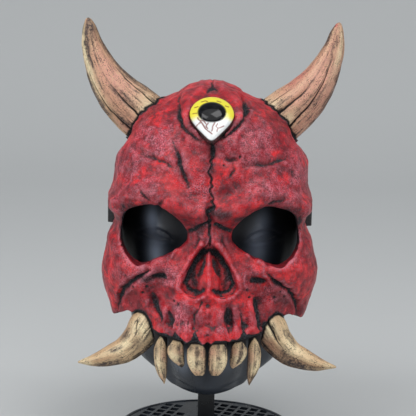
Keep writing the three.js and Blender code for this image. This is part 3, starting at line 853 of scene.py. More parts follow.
@dataclass(frozen=True)
class PaintedEye:
    """Glossy painted eyeball: white below, yellow round the pupil, thin red veins."""

    white: Colour = srgb(226, 228, 228)
    yellow: Colour = srgb(236, 224, 66)
    vein: Colour = srgb(122, 48, 36)
    ink: Colour = srgb(28, 22, 20)

    def make(self) -> bpy.types.Material:
        """Builds the material, which reads the attributes yellow, vein and ink.

        Returns:
            The eye's material.
        """
        board = Board("eye_paint")
        clouds = board.noise(6, 3, 0.6)
        colour = board.mix(board.attribute("yellow"), self.white, self.yellow)
        colour = board.mix(board.span(clouds, 0.5, 0.8, 0, 0.12), colour, self.vein)
        colour = board.mix(board.attribute("vein"), colour, self.vein)
        colour = board.mix(board.attribute("ink"), colour, self.ink)
        rough = board.span(clouds, 0.3, 0.7, 0.16, 0.26)
        return board.finish(colour, rough, board.bump(clouds, 0.1), Coat_Weight=0.5, Coat_Roughness=0.08)


@dataclass(frozen=True)
class GlossPupil:
    """A polished black dome."""

    black: Colour = srgb(9, 9, 11)
    haze_and_highlight: Colour = srgb(20, 21, 25)

    def make(self) -> bpy.types.Material:
        """Builds the material."""
        board = Board("pupil_gloss")
        haze_and_highlight = board.noise(4, 3, 0.6)
        colour = board.mix(board.span(haze_and_highlight, 0.4, 0.7), self.black, self.haze_and_highlight)
        return board.finish(colour, board.span(haze_and_highlight, 0.4, 0.7, 0.08, 0.18), None, Specular_IOR_Level=0.32)


@dataclass(frozen=True)
class SatinPlastic:
    """Moulded black plastic with a faint skin and light dust; where shaded, it carries painted shadow and
    painted highlights.
    """

    name: str = "satin_plastic"
    black: Colour = srgb(27, 32, 40)
    dusty: Colour = srgb(40, 46, 56)
    # the next two colours are the painted shadow and the painted highlight on the head
    shadow: Colour = srgb(5, 5, 7)
    haze_and_highlight: Colour = srgb(182, 196, 218)
    smooth: float = 0.24
    worn: float = 0.36
    shaded: bool = False

    def make(self) -> bpy.types.Material:
        """Builds the material, which reads a painted shadow and a painted highlight from the piece's
        attributes if it is shaded.

        Returns:
            The plastic's material.
        """
        board = Board(self.name)
        skin = board.noise(1.4, 2, 0.5)
        dust = board.noise(26, 4, 0.6)
        colour = board.mix(board.span(dust, 0.4, 0.7), self.black, self.dusty)
        rough = board.span(dust, 0.3, 0.7, self.smooth, self.worn)
        if self.shaded:
            shade = board.attribute("shade")
            # painted shadow: the head goes near black where the mask and teeth would shade it
            colour = board.mix(shade, colour, self.shadow)
            # painted highlight: pale blue-grey patches where the head's gloss would catch the lamps
            colour = board.mix(board.attribute("haze_and_highlight"), colour, self.haze_and_highlight)
            rough = board.plus(rough, board.times(shade, 0.6))
        return board.finish(colour, rough, board.bump(skin, 0.02), Specular_IOR_Level=0.4)


@dataclass(frozen=True)
class ElasticWebbing:
    """Woven black elastic: ribs along its length crossed by fine weft threads."""

    WAVE_RATE = 20.0

    rib: float = 1.2
    weft: float = 0.9
    black: Colour = srgb(11, 11, 13)
    thread: Colour = srgb(30, 30, 34)

    def make(self) -> bpy.types.Material:
        """Builds the material, which reads the attributes run and rise, in millimetres.

        Returns:
            The strap's material.
        """
        board = Board("strap_webbing")
        place = board.vector(board.attribute("run"), board.attribute("rise"), 0.0)
        ribs = self._wave(board, place, "Y", self.rib)
        wefts = self._wave(board, place, "X", self.weft)
        weave = board.times(ribs, wefts)
        fuzz = board.noise(0.4, 2, 0.6)
        lit = board.times(weave, board.span(fuzz, 0.3, 0.7, 0.5, 1))
        colour = board.mix(lit, self.black, self.thread)
        return board.finish(colour, board.span(fuzz, 0.3, 0.7, 0.75, 0.95), board.bump(weave, 0.25),
                            Sheen_Weight=0.3)

    def _wave(self, board: Board, place: Socket, axis: str, pitch: float) -> Socket:
        """Even stripes across an axis, a pitch apart in millimetres."""
        node = board.nodes.new("ShaderNodeTexWave")
        node.bands_direction = axis
        board.feed(node.inputs["Vector"], place)
        node.inputs["Scale"].default_value = math.tau / (self.WAVE_RATE * pitch)
        return node.outputs["Fac"]


def dress(piece: Piece, material: bpy.types.Material) -> None:
    """Gives a piece one material in place of any that it has."""
    piece.data.materials.clear()
    piece.data.materials.append(material)


def ride_as(piece: Piece, material: bpy.types.Material, slot: str, *nodes: str) -> None:
    """Dresses a piece and fixes it to the frame.

    Args:
        piece: The finished piece.
        material: Its material.
        slot: A material slot's name from the record; not used.
        *nodes: The frame's nodes that it stands for.
    """
    dress(piece, material)
    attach(piece, ROOT_BODY)
    if nodes:
        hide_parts(*nodes)
    LOG.info("%s: %d faces, stands for %s", piece.name, len(piece.data.polygons), nodes or "nothing")


# The mask's own measures


@dataclass(frozen=True)
class SkullScale:
    """Places on the mask as shares of its half width, height and depth, in millimetres."""

    half_width: float = 84.0
    height: float = 193.5
    depth: float = 100.0
    axis_y: float = -15.0
    crown_over_head: float = 5.42

    @property
    def gum_z(self) -> float:
        """The level of the gum between the front teeth."""
        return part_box("display_head")[1].z / MM + self.crown_over_head - self.height

    def across(self, share: float) -> float:
        """A share of the half width."""
        return share * self.half_width

    def up(self, share: float) -> float:
        """The level at a share of the height."""
        return self.gum_z + share * self.height

    def forward(self, share: float) -> float:
        """The place in depth at a share of the depth."""
        return self.axis_y - share * self.depth


SCALE = SkullScale()


# Horns, tusks and teeth


@dataclass(frozen=True)
class Groove:
    """A crack along a swept piece: start and end as share of its length and degrees from its front."""

    start: Place
    end: Place
    width: float = 0.8
    depth: float = 0.9
    ink: float = 0.95


@dataclass(frozen=True)
class Tint:
    """A soft patch of paint: middle and reach as share of the length and degrees from the front."""

    hue: Hue
    share: float
    degrees: float
    length: float
    spread: float
    strength: float = 1.0

    def at(self, share: Array, degrees: Array) -> Array:
        """The paint's strength at points of the piece."""
        away = (degrees - self.degrees + 180) % 360 - 180
        far = ((share - self.share) / self.length) ** 2 + (away / self.spread) ** 2
        return self.strength * np.exp(-far)


def tints(**groups: tuple[Row, ...]) -> tuple[Tint, ...]:
    """Makes patches of paint from rows of numbers that are grouped by their hue."""
    return tuple(Tint(Hue(hue), *row) for hue, rows in groups.items() for row in rows)


@dataclass
class BonePiece:
    """A swept piece of aged bone with cracks, streaks and specks."""

    STREAK_STRETCH = 0.12
    THINNEST = 0.35

    side: Side
    grooves: tuple[Groove, ...] = ()
    tints: tuple[Tint, ...] = ()
    sides: int = 72
    steps: int = 120
    lumps: float = 0.35
    seed: int = 1
    low_shade: float = 0.5

    def rings(self) -> list[Ring]:
        """The piece's sections from its root to its tip."""
        raise NotImplementedError

    @staticmethod
    def swept(rows: Array, depth: Array = np.array([0.0, 1.0, 0.0])) -> list[Ring]:
        """Round sections along a line.

        Args:
            rows: Rows of x, y, z and radius.
            depth: The direction that the sections' angles are counted from.

        Returns:
            The sections, square to the line.
        """
        rings = []
        directions = np.gradient(rows[:, :3], axis=0)
        for row, along in zip(rows, directions):
            along = along / np.linalg.norm(along)
            deep = depth - (depth @ along) * along
            deep /= np.linalg.norm(deep)
            wide = np.cross(deep, along)
            wide *= math.copysign(1.0, wide[0])
            radius = max(row[3], BonePiece.THINNEST)
            rings.append(Ring(row[:3], wide * radius, deep * radius))
        return rings

    def build(self, name: str) -> Sculpt:
        """Sweeps the piece, carves its cracks and paints its numbers.

        Args:
            name: The piece's name.

        Returns:
            The worked surface.
        """
        rings = self.rings()
        piece = Sweep(rings, self.sides).piece(name)
        middles = np.array([ring.middle for ring in rings])
        length = float(np.linalg.norm(np.diff(middles, axis=0), axis=1).sum())
        radii = [float(np.linalg.norm(ring.wide)) for ring in rings]
        girth = max(radii)
        share, turn = read_layer(piece, "along"), read_layer(piece, "turn")
        front = self.side.value * ((turn + 1.5 * math.pi) % math.tau - math.pi)
        sculpt = Sculpt(piece)
        grain = Grain(self.seed)
        normals = sculpt.normals()
        radius = np.interp(share, np.linspace(0, 1, len(rings)), radii)
        lengthwise = np.column_stack([np.cos(turn) * girth, np.sin(turn) * girth,
                                      share * length * self.STREAK_STRETCH])
        relief = self.lumps * grain.layered(lengthwise, 4.5, 3) * smoothstep(radius, 0.5, 3)
        relief += 0.8 * self.lumps * grain.layered(sculpt.points, 6, 2)
        ink = np.zeros(len(share))
        surface = np.column_stack([share * length, front * girth])
        wander = grain.layered(sculpt.points, 5, 3)
        for groove in self.grooves:
            ends = np.array([groove.start, groove.end]) * [length, math.radians(girth)]
            distance, along = line_distance(surface + 0.5 * wander[:, None] * [0, 1], ends)
            taper = np.sqrt(np.clip(1.02 - along, 0, 1))
            cut = bell(distance, groove.width * (0.45 + 0.55 * taper)) * taper
            relief -= groove.depth * cut
            relief += 0.3 * groove.depth * bell(distance - 2.2 * groove.width, groove.width) * taper
            ink = np.maximum(ink, groove.ink * smoothstep(cut, 0.3, 0.65))
        sculpt.points += normals * relief[:, None]
        for name, column in zip(("around_x", "around_y", "length"), lengthwise.T):
            sculpt.paint(name, column * MM)
        blotchy = grain.layered(sculpt.points, 4, 4)
        for hue in Hue:
            layers = [tint.at(share + 0.03 * wander, np.degrees(front) + 9 * blotchy)
                      for tint in self.tints if tint.hue is hue]
            sculpt.paint(hue.value, np.clip(sum(layers, np.zeros(len(share))), 0, 1))
        sculpt.paint("hollow", sculpt.cavity(12))
        # painted shade where the piece looks down and by its root
        low_shaded = self.low_shade * self.low_shade_at(sculpt, share, front, grain)
        sculpt.paint("ink", np.maximum.reduce([ink, low_shaded, self.collar(share, front, blotchy)]))
        return sculpt

    def collar(self, share: Array, front: Array, blotchy: Array) -> Array:
        """The dark that leaves a pointed arch at the piece's root; plain pieces have none."""
        return np.zeros(len(share))

    def underside(self, sculpt: Sculpt, front: Array) -> Array:
        """The side that is painted in shade: where the surface looks down."""
        return smoothstep(-sculpt.normals()[:, 2], 0.1, 0.8)

    def low_shade_at(self, sculpt: Sculpt, share: Array, front: Array, grain: Grain) -> Array:
        """Painted shade: broken dark patches where the piece looks down and by its root.

        Args:
            sculpt: The surface.
            share: How far along each point is.
            front: Each point's angle from the front.
            grain: The piece's noise.

        Returns:
            The painted shade at each point, 0 to 1.
        """
        low = self.underside(sculpt, front)
        patch = smoothstep(grain.layered(sculpt.points, 9, 4), 0.0, 0.35)
        root = 1 - smoothstep(share, 0.06, 0.2)
        return np.clip(low * patch + 0.5 * root * patch, 0, 1)


@dataclass
class Horn(BonePiece):
    """A horn that leaves the temple outwards and curves up to a point."""

    base_across: float = 0.629
    base_forward: float = 0.1
    base_up: float = 0.843
    base_radius: float = 20.5
    reach: float = 45.0
    rise: float = 78.0
    lean_back: float = -5.0
    seat_depth: float = 10.0
    leaning: Row = (0.75, -0.02, 0.66)
    line: tuple[Row, ...] = (
        (0, 0, 1), (0.2, 0.1, 0.97), (0.44, 0.226, 0.87), (0.66, 0.39, 0.72), (0.81, 0.56, 0.56),
        (0.92, 0.73, 0.415), (0.97, 0.89, 0.27), (0.995, 0.975, 0.13), (1, 1, 0.03))

    def base(self) -> Array:
        """The middle of the horn's root."""
        return np.array([self.side.value * SCALE.across(self.base_across),
                         SCALE.forward(self.base_forward), SCALE.up(self.base_up)])

    def axis(self) -> Array:
        """The direction in which the horn leaves the skull."""
        return np.array([self.side.value, 1, 1]) * self.leaning

    def rings(self) -> list[Ring]:
        """The horn's sections."""
        base, sign = self.base(), self.side.value
        rows = [[*(base - self.axis() * self.seat_depth), self.base_radius]]
        rows += [[base[0] + sign * out * self.reach, base[1] + out * self.lean_back,
                  base[2] + lift * self.rise, thick * self.base_radius] for out, lift, thick in self.line]
        return self.swept(spline(rows, self.steps))

    def underside(self, sculpt: Sculpt, front: Array) -> Array:
        """The side that is painted in shade: the horn's outer and lower side."""
        return smoothstep(front, 0.3, 1.4)


@dataclass
class Tusk(BonePiece):
    """A tusk that drops from the cheek and sweeps outwards."""

    base_across: float = 0.565
    base_forward: float = 0.71
    base_up: float = 0.052
    base_radius: float = 13.3
    reach: float = 51.0
    drop: float = 27.5
    swing: float = -10.0
    seat_depth: float = 9.0
    seat_width: float = 0.86
    leaning: Row = (0.5, 0.44, 0.86)
    line: tuple[Row, ...] = ((0, 0, 1), (0.11, 0.33, 0.9), (0.284, 0.64, 0.77), (0.49, 0.8, 0.63),
                             (0.706, 0.92, 0.42), (1, 1, 0.05))

    def rings(self) -> list[Ring]:
        """The tusk's sections."""
        sign = self.side.value
        x, y = SCALE.across(self.base_across), SCALE.forward(self.base_forward)
        z = SCALE.up(self.base_up)
        inwards, back, up = (share * self.seat_depth for share in self.leaning)
        rows = [[sign * (x - inwards), y + back, z + up, self.seat_width * self.base_radius]]
        rows += [[sign * (x + out * self.reach), y + math.sin(math.pi / 2 * out) * self.swing,
                  z - fall * self.drop, thick * self.base_radius] for out, fall, thick in self.line]
        return self.swept(spline(rows, self.steps))


@dataclass(frozen=True)
class ToothForm:
    """A kind of tooth: its place in the row, its size, and rows of level, shift and width shares."""

    across: float
    forward: float
    length: float
    half_width: float
    squareness: float
    rows: tuple[Row, ...]


class ToothKind(Enum):
    """The three kinds of tooth on each side."""

    INCISOR = ToothForm(0.096, 0.995, 30.0, 7.1, 3.0, (
        (0, 0, 0.76), (0.22, 0, 0.86), (0.42, 0, 1), (0.68, -0.03, 0.97), (0.86, -0.15, 0.8),
        (0.96, -0.25, 0.6), (1, -0.27, 0.45)))
    SIDE_TOOTH = ToothForm(0.279, 0.95, 26.0, 6.3, 2.5, (
        (0, 0, 0.76), (0.25, 0, 0.88), (0.47, 0.03, 1), (0.65, -0.08, 0.94), (0.82, -0.34, 0.7),
        (0.94, -0.56, 0.4), (1, -0.64, 0.16)))
    FANG = ToothForm(0.42, 0.885, 41.4, 5.1, 2.2, (
        (0, 0, 0.86), (0.2, 0, 0.98), (0.46, 0, 1), (0.63, -0.08, 0.93), (0.79, -0.3, 0.7),
        (0.92, -0.48, 0.36), (1, -0.56, 0.1)))

    @property
    def word(self) -> str:
        """The kind's name as the frame's nodes spell it."""
        return self.name.lower()


@dataclass
class Tooth(BonePiece):
    """A tooth of the upper row."""

    kind: ToothKind = ToothKind.INCISOR
    half_depth: float = 4.6
    top: float = 0.052
    end_rounding: float = 0.7
    arch: float = 0.17
    sides: int = 90
    steps: int = 80
    lumps: float = 0.45

    def rings(self) -> list[Ring]:
        """The tooth's sections from the gum down, with a rounded end.

        Returns:
            The sections, root first.
        """
        form = self.kind.value
        rings = []
        for level, shift, share in spline([list(row) for row in form.rows], self.steps):
            share = max(share, 0.06)
            middle = np.array([
                self.side.value * (SCALE.across(form.across) + shift * form.half_width),
                SCALE.forward(form.forward) + 0.9 * (1 - share) * self.half_depth,
                SCALE.up(self.top) - level * form.length])
            wide = np.array([share * form.half_width, 0, 0])
            deep = np.array([0, (0.85 * share + 0.15) * self.half_depth, 0])
            rings.append(Ring(middle, wide, deep, form.squareness))
        last, steps = rings[-1], 6
        for k in range(1, steps):
            angle = math.pi / 2 * k / steps
            fall = np.array([0, 0, -self.end_rounding * math.sin(angle)])
            rings.append(Ring(last.middle + fall, last.wide * math.cos(angle), last.deep * math.cos(angle),
                              last.squareness))
        return rings

    def collar(self, share: Array, front: Array, blotchy: Array) -> Array:
        """The black of the gum round the arch of the tooth, and painted shade down its flanks and back."""
        arch = self.arch * (0.2 + np.abs(front) / 1.1) + 0.02 * blotchy
        # painted shade: the flanks and back of the tooth go dark
        flank = 0.9 * smoothstep(np.abs(front) + 0.1 * blotchy, 1.25, 1.6)
        return np.maximum(smoothstep(arch - share, -0.02, 0.02), flank)


HORN_GROOVES = {
    Side.LEFT: (Groove((0.06, 2), (0.42, -8), 1.3, 1.8), Groove((0.05, 34), (0.56, 50), 1.2, 1.6),
                Groove((0.06, -44), (0.5, -58), 1.0, 1.3), Groove((0.12, 60), (0.4, 66), 0.7, 0.9, 0.7)),
    Side.RIGHT: (Groove((0.05, -18), (0.42, -20), 2.0, 2.4), Groove((0.05, 26), (0.62, 4), 1.3, 1.8),
                 Groove((0.1, -52), (0.4, -50), 0.7, 0.8, 0.6)),
}

# The dark patches are partly stains; those near 60 to 90 degrees from the front paint shade along the
# edges of horns, tusks and teeth
HORN_TINTS = {
    Side.LEFT: tints(
        blush=((0.45, -20, 0.3, 50), (0.15, 40, 0.12, 30, 0.6), (0.9, 30, 0.08, 40, 0.6)),
        cream=((0.15, -30, 0.1, 30), (0.55, 48, 0.14, 18), (0.74, 62, 0.12, 18, 0.8)),
        smoke=((0.85, -12, 0.14, 36), (0.68, 30, 0.12, 16, 0.85), (0.4, 74, 0.13, 24),
               (0.06, 58, 0.07, 30), (0.5, -92, 0.4, 30, 1.0), (0.22, 34, 0.1, 9, 0.7),
               (0.3, -14, 0.1, 8, 0.5), (0.98, 0, 0.03, 180, 0.4))),
    Side.RIGHT: tints(
        blush=((0.5, 0, 0.5, 90, 0.9),),
        rose=((0.35, 60, 0.22, 26, 0.3), (0.4, -74, 0.14, 20, 0.6), (0.88, -46, 0.05, 30, 0.8)),
        cream=((0.12, -40, 0.1, 26), (0.16, 6, 0.09, 14, 0.9), (0.7, 34, 0.14, 14, 0.8)),
        smoke=((0.74, -72, 0.12, 26, 0.9), (0.5, 76, 0.1, 24, 0.9), (0.05, 46, 0.06, 24, 0.9),
               (0.66, -6, 0.1, 10, 0.6), (0.1, -8, 0.06, 10, 0.8), (0.3, 88, 0.3, 20, 0.6),
               (0.4, 22, 0.12, 7, 0.5))),
}

TUSK_GROOVES = {
    Side.LEFT: (Groove((0.1, -14), (0.3, -2), 0.6, 0.9), Groove((0.17, 40), (0.32, 14), 0.6, 0.9),
                Groove((0.12, -58), (0.5, -46), 1.0, 1.2, 0.8)),
    Side.RIGHT: (Groove((0.1, 8), (0.46, 6), 1.2, 1.7), Groove((0.1, -34), (0.3, -30), 0.6, 0.8),
                 Groove((0.12, -58), (0.5, -46), 1.0, 1.2, 0.8)),
}

TUSK_TINTS = {
    Side.LEFT: tints(
        cream=((0.2, 10, 0.12, 50), (0.52, 30, 0.2, 30, 0.9), (0.95, 0, 0.05, 180, 0.8)),
        smoke=((0.75, -44, 0.16, 36, 0.9), (0.4, 60, 0.12, 20, 0.6), (0.3, -64, 0.2, 24, 0.8),
               (0.38, -5, 0.1, 24, 0.45))),
    Side.RIGHT: tints(
        cream=((0.16, -6, 0.1, 30), (0.5, 40, 0.2, 30, 0.8), (0.95, 0, 0.05, 180, 0.5)),
        smoke=((0.7, -40, 0.2, 40, 0.85), (0.42, 66, 0.16, 22, 0.6), (0.3, -60, 0.2, 24, 0.9),
               (0.5, 0, 0.14, 24, 0.4)),
        rose=((0.3, -30, 0.16, 20, 0.25),)),
}

TOOTH_TINTS = tints(
    cream=((0.45, 20, 0.26, 50, 0.95),),
    smoke=((0.5, -75, 0.4, 28, 0.9), (0.22, 40, 0.1, 30, 0.5), (0.6, -25, 0.3, 12, 0.5)),
    rose=((0.3, -30, 0.1, 40, 0.35), (0.7, 10, 0.12, 40, 0.2)))


# The mask


@dataclass(frozen=True)
class Stroke:
    """A line carved into the front, or raised where its depth is below 0, in millimetres."""

    places: tuple[Place, ...]
    width: float
    depth: float
    ink: float = 0.8
    lip: float = 0.12
    wander: float = 0.9
    taper: bool = True
    # how strongly a painted highlight runs along the line
    shine: float = 0.0

    def strength(self, along: Array, margin: float) -> Array | float:
        """How deep the line is along its run: full in the middle and fading to its ends."""
        return np.sin(math.pi * np.clip(along, margin, 1 - margin)) ** 0.5 if self.taper else 1.0


@dataclass(frozen=True)
class Patch:
    """A soft round area on the front: middle and radii in millimetres, and its strength."""

    x: float
    z: float
    radius_x: float
    radius_z: float
    strength: float

    def at(self, flat: Array) -> Array:
        """The area's strength at points of the front view."""
        offset = (flat - [self.x, self.z]) / [self.radius_x, self.radius_z]
        return self.strength * np.exp(-(offset**2).sum(axis=1))


def patches(*rows: Row) -> tuple[Patch, ...]:
    """Makes soft areas from rows of numbers."""
    return tuple(Patch(*row) for row in rows)


def covered(areas: tuple[Patch, ...], flat: Array) -> Array:
    """How strongly a set of soft areas covers points of the front view, 0 to 1."""
    return np.clip(sum(area.at(flat) for area in areas), 0, 1)


CRACKS = (
    Stroke(((0.1, 304), (0.2, 297)), 1.0, 1.3),
    Stroke(((-6, 296), (0, 300), (6, 297)), 1.3, 1.4, 0.9, wander=0.5),
    Stroke(((0.6, 264.5), (0.9, 258.5), (0.8, 250)), 2.2, 2.2, 0.95),
    Stroke(((0.6, 252), (-0.6, 249.5), (0.8, 247), (-0.4, 244), (-1.8, 241.5), (-0.4, 239),
            (1.2, 236.5), (0, 234), (1.4, 231), (-0.4, 228.5), (0.6, 226), (2.6, 223), (1, 220.5),
            (2.6, 218), (-0.4, 215.5), (0.4, 213), (-1, 210.5), (0, 207.5),
            (-0.3, 204)), 0.7, 1.5, 0.92, wander=0.6, taper=False),
    Stroke(((1.6, 223), (2.2, 218), (-0.8, 213), (0, 208)), 2.1, 2.2, 0.95, wander=2.4),
    Stroke(((-26, 292), (-26, 282), (-22, 274), (-17, 269), (-10.6, 265),
            (-3, 263)), 1.8, 2.8, 0.85, 0.05, 1.2),
    Stroke(((-26.5, 289), (-26, 280), (-23, 275)), 2.4, 2.0, 0.9, 0, 1.0),
    Stroke(((24, 294), (27.6, 286), (25, 279), (18.9, 273), (9.8, 267),
            (3.5, 263)), 1.8, 2.8, 0.85, 0.05, 1.2),
    Stroke(((24.5, 292), (27.8, 285), (25, 279)), 2.4, 2.0, 0.9, 0, 1.0),
    Stroke(((-57, 254), (-48, 251), (-36.5, 249), (-26, 244)), 2.1, 2.2, 0.55, 0.1, 1.5),
    Stroke(((-29, 262), (-24.5, 252), (-21.5, 242.5), (-16, 231)), 2.3, 3.2, 0.85, 0.15, 1.4),
    Stroke(((10, 251), (15.5, 250), (20.3, 251)), 2.4, 2.2, 0.6, 0.0, 2.4),
    Stroke(((15, 250), (17, 243), (13, 237)), 1.6, 1.6, 0.5, 0.1, 1.6),
    Stroke(((24, 246), (35, 247), (44.6, 247.5), (62, 252)), 2.0, 2.0, 0.45, 0.1, 1.5),
    Stroke(((61.6, 242), (63, 235)), 1.6, 1.4, 0.5, 0.1),
    Stroke(((-62, 250), (-60, 241), (-62, 232)), 1.8, 1.4, 0.35, 0.1, 1.6),
    Stroke(((-54, 228), (-50, 223), (-43, 218)), 1.8, 1.8, 0.75, 0.05),
    Stroke(((41, 217), (48, 220), (58, 222)), 1.8, 1.8, 0.75, 0.05),
    Stroke(((-40, 213.5), (-36, 219), (-33, 222)), 1.5, 1.6, 0.6, 0.05),
    Stroke(((0, 205.6), (-8, 201.5), (-14, 198), (-19, 195.5)), 1.5, 2.4, 0.97, 0, taper=False),
    Stroke(((4, 203.5), (10, 200.5), (16.3, 198), (21, 196)), 1.5, 2.4, 0.97, 0, taper=False),
    Stroke(((0.3, 203), (0.3, 194), (0, 186)), 0.9, 1.6, 0.95, wander=1.4, taper=False),
    Stroke(((-9.4, 197), (-7.8, 192), (-11.5, 182.6)), 1.2, 1.4, 0.75),
    Stroke(((10.3, 197), (9.6, 191), (13, 184)), 1.2, 1.4, 0.75),
    Stroke(((42.9, 173), (44.5, 166), (48.5, 160.4), (55, 155.8), (61.8, 150.5), (67.6, 139.5),
            (69, 130), (68.5, 121)), 1.8, 3.2, 0.95, 0.2, 1.8),
    Stroke(((46, 162), (52, 157), (58, 153)), 2.6, 2.4, 0.9, 0, 1.8),
    Stroke(((-43.3, 173), (-44.3, 167.4), (-50.5, 162.7), (-58.8, 155), (-66.4, 146.5), (-69.4, 135),
            (-70.5, 123)), 1.8, 3.2, 0.95, 0.2, 1.8),
    Stroke(((-46, 165), (-52, 161), (-58, 156)), 2.6, 2.4, 0.9, 0, 1.8),
    Stroke(((-43.5, 160), (-38, 161.5), (-31.5, 163)), 3.3, 4.6, 0.97, 0.05, 1.4),
    Stroke(((31, 161.5), (37, 159.5), (44, 157)), 3.3, 4.6, 0.97, 0.05, 1.4),
    Stroke(((-41.5, 146), (-39, 137), (-36, 132), (-34.5, 127)), 2.3, 3.6, 0.97, 0.05, 1.2),
    Stroke(((-28.5, 139), (-27.8, 131), (-27.6, 123)), 1.7, 2.2, 0.8, 0, 1.6),
    Stroke(((-14.5, 133), (-14.8, 124)), 1.0, 1.0, 0.4, 0, 1.6),
    Stroke(((-5.4, 146), (-9.6, 137), (-10, 127)), 1.4, 1.8, 0.7, 0, 1.6),
    Stroke(((14.4, 143), (15, 132), (16.8, 122)), 1.8, 2.4, 0.85, 0, 1.4),
    Stroke(((24, 141), (26.5, 132), (27.6, 122)), 1.7, 2.2, 0.75, 0, 1.4),
    Stroke(((33.6, 150), (37, 141), (39.4, 131), (42, 120)), 2.3, 3.6, 0.97, 0.05, 1.6),
)

APERTURE = (
    Stroke(((-0.5, 184), (-6, 180), (-10, 173), (-14, 166), (-17, 158.5), (-14.5, 153.5), (-8, 152),
            (-4, 155)), 1.7, 1.8, 0.95, 0, 1.0, False),
    Stroke(((1, 184), (6.5, 180), (10.5, 173), (14.5, 166), (17.5, 158.5), (15, 153.5), (9, 152),
            (4.5, 155)), 1.7, 1.8, 0.95, 0, 1.0, False),
    Stroke(((-2.5, 182), (-5, 172), (-9.5, 160)), 2.6, 1.2, 0.8, 0, 1.8),
    Stroke(((3, 182), (5.5, 172), (9.5, 160)), 2.6, 1.2, 0.8, 0, 1.8),
    Stroke(((-11, 172), (-13.5, 162), (-10, 156)), 3.4, 1.0, 0.75, 0, 1.8),
    Stroke(((11, 172), (14, 162), (10, 156)), 3.4, 1.0, 0.75, 0, 1.8),
)

# Raised ridges; the last number of each paints a highlight along it
RIDGES = (
    Stroke(((-16, 262), (-19, 270), (-20.5, 281), (-17, 291),
            (-8, 299)), 2.6, -1.8, 0, 0, 0.4, False, 0.6),
    Stroke(((17, 262), (19.5, 270), (21, 281), (17.5, 291), (8, 299)), 2.6, -1.8, 0, 0, 0.4, False, 0.5),
    Stroke(((-54, 231), (-38, 229), (-24, 220), (-9, 209)), 6.5, -3.4, 0, 0, 1.0, shine=0.3),
    Stroke(((54, 232), (40, 230), (25, 221), (9, 209)), 6.5, -3.4, 0, 0, 1.0, shine=0.3),
    Stroke(((-6, 189), (-12, 181), (-17, 172), (-22, 164), (-23, 155), (-18, 149), (-9, 146.5),
            (-3, 150)), 1.6, -1.9, 0, 0, 0.5, False, 1.0),
    Stroke(((6, 189), (12, 181), (17, 172), (22, 164), (23.5, 155), (18.5, 149), (9, 146.5),
            (3, 150)), 1.6, -1.9, 0, 0, 0.5, False, 1.0),
    Stroke(((0, 184), (0.2, 168), (0, 153)), 1.4, -1.3, 0, 0, 0.5, False, 0.6),
    Stroke(((18, 226), (13, 234), (11, 242)), 2.2, -1.3, 0, 0, 1.0),
    Stroke(((-21, 250), (-17, 242), (-12, 236)), 3.4, -1.6, 0, 0, 1.0, shine=0.5),
    Stroke(((-66, 193), (-66, 182), (-60, 172.5), (-48, 168),
            (-36, 173)), 3.2, -2.2, 0, 0, 0.8, False, 0.5),
    Stroke(((67, 193), (67, 182), (61, 172.5), (49, 168), (37, 174)), 3.2, -2.2, 0, 0, 0.8, False, 0.5),
    Stroke(((-20, 193), (-24, 184), (-29, 175)), 1.6, -1.4, 0, 0, 0.8, shine=0.6),
    Stroke(((21, 193), (26, 185), (31, 176)), 1.6, -1.4, 0, 0, 0.8, shine=0.6),
    Stroke(((-36, 147), (-31, 143), (-30, 134)), 3.0, -1.6, 0, 0, 1.0, shine=0.6),
    Stroke(((34, 150), (31, 144), (31, 134)), 3.0, -1.6, 0, 0, 1.0, shine=0.6),
    Stroke(((44, 146), (46, 138), (47, 130)), 3.0, -1.6, 0, 0, 1.0, shine=0.4),
    Stroke(((-46, 146), (-46, 138), (-44, 131)), 2.6, -1.4, 0, 0, 1.0, shine=0.2),
)


@dataclass(frozen=True)
class GumForm:
    """The curve of the row of teeth and the roll of gum that they stand in, in millimetres."""

    front_y: float = -119.5
    flat_half: float = 10.0
    slant: float = 0.16
    bend: float = 0.0125
    half_width: float = 39.0
    setback: float = 3.3
    level: float = 120.2
    rise: float = 0.0018
    radius: float = 4.6

    def teeth_front(self, x: float | Array) -> float | Array:
        """The depth of the front of the row of teeth."""
        beside = np.maximum(np.abs(x) - self.flat_half, 0)
        return self.front_y + self.slant * beside + self.bend * beside**2

    def piece(self) -> Piece:
        """A roll of gum between the roots that the teeth stand in."""
        rows = [[x, self.teeth_front(x) + self.setback, self.level + self.rise * x**2, self.radius]
                for x in np.linspace(-self.half_width, self.half_width, 40)]
        return Sweep(BonePiece.swept(np.array(rows), np.array([0.0, 0.0, 1.0])), 20).piece("gum")


GUM = GumForm()

GUM_LINE = ((-46, 124), (-40, 122.5), (-36, 121), (-31, 121.5), (-29, 120), (-26.8, 119), (-24.5, 123.5),
            (-22, 121.5), (-18, 118.5), (-15.3, 116.8), (-12.5, 119), (-9.6, 125.5), (-7, 120), (-4, 116),
            (-1, 115.8), (0, 117), (2.6, 116), (5.5, 118.2), (9, 119), (13, 118.4), (16.4, 117),
            (18, 119.5), (21.3, 118.8), (24, 120.5), (26.5, 124.5), (29, 122), (34, 121.4), (38, 121),
            (41, 121), (46, 123))


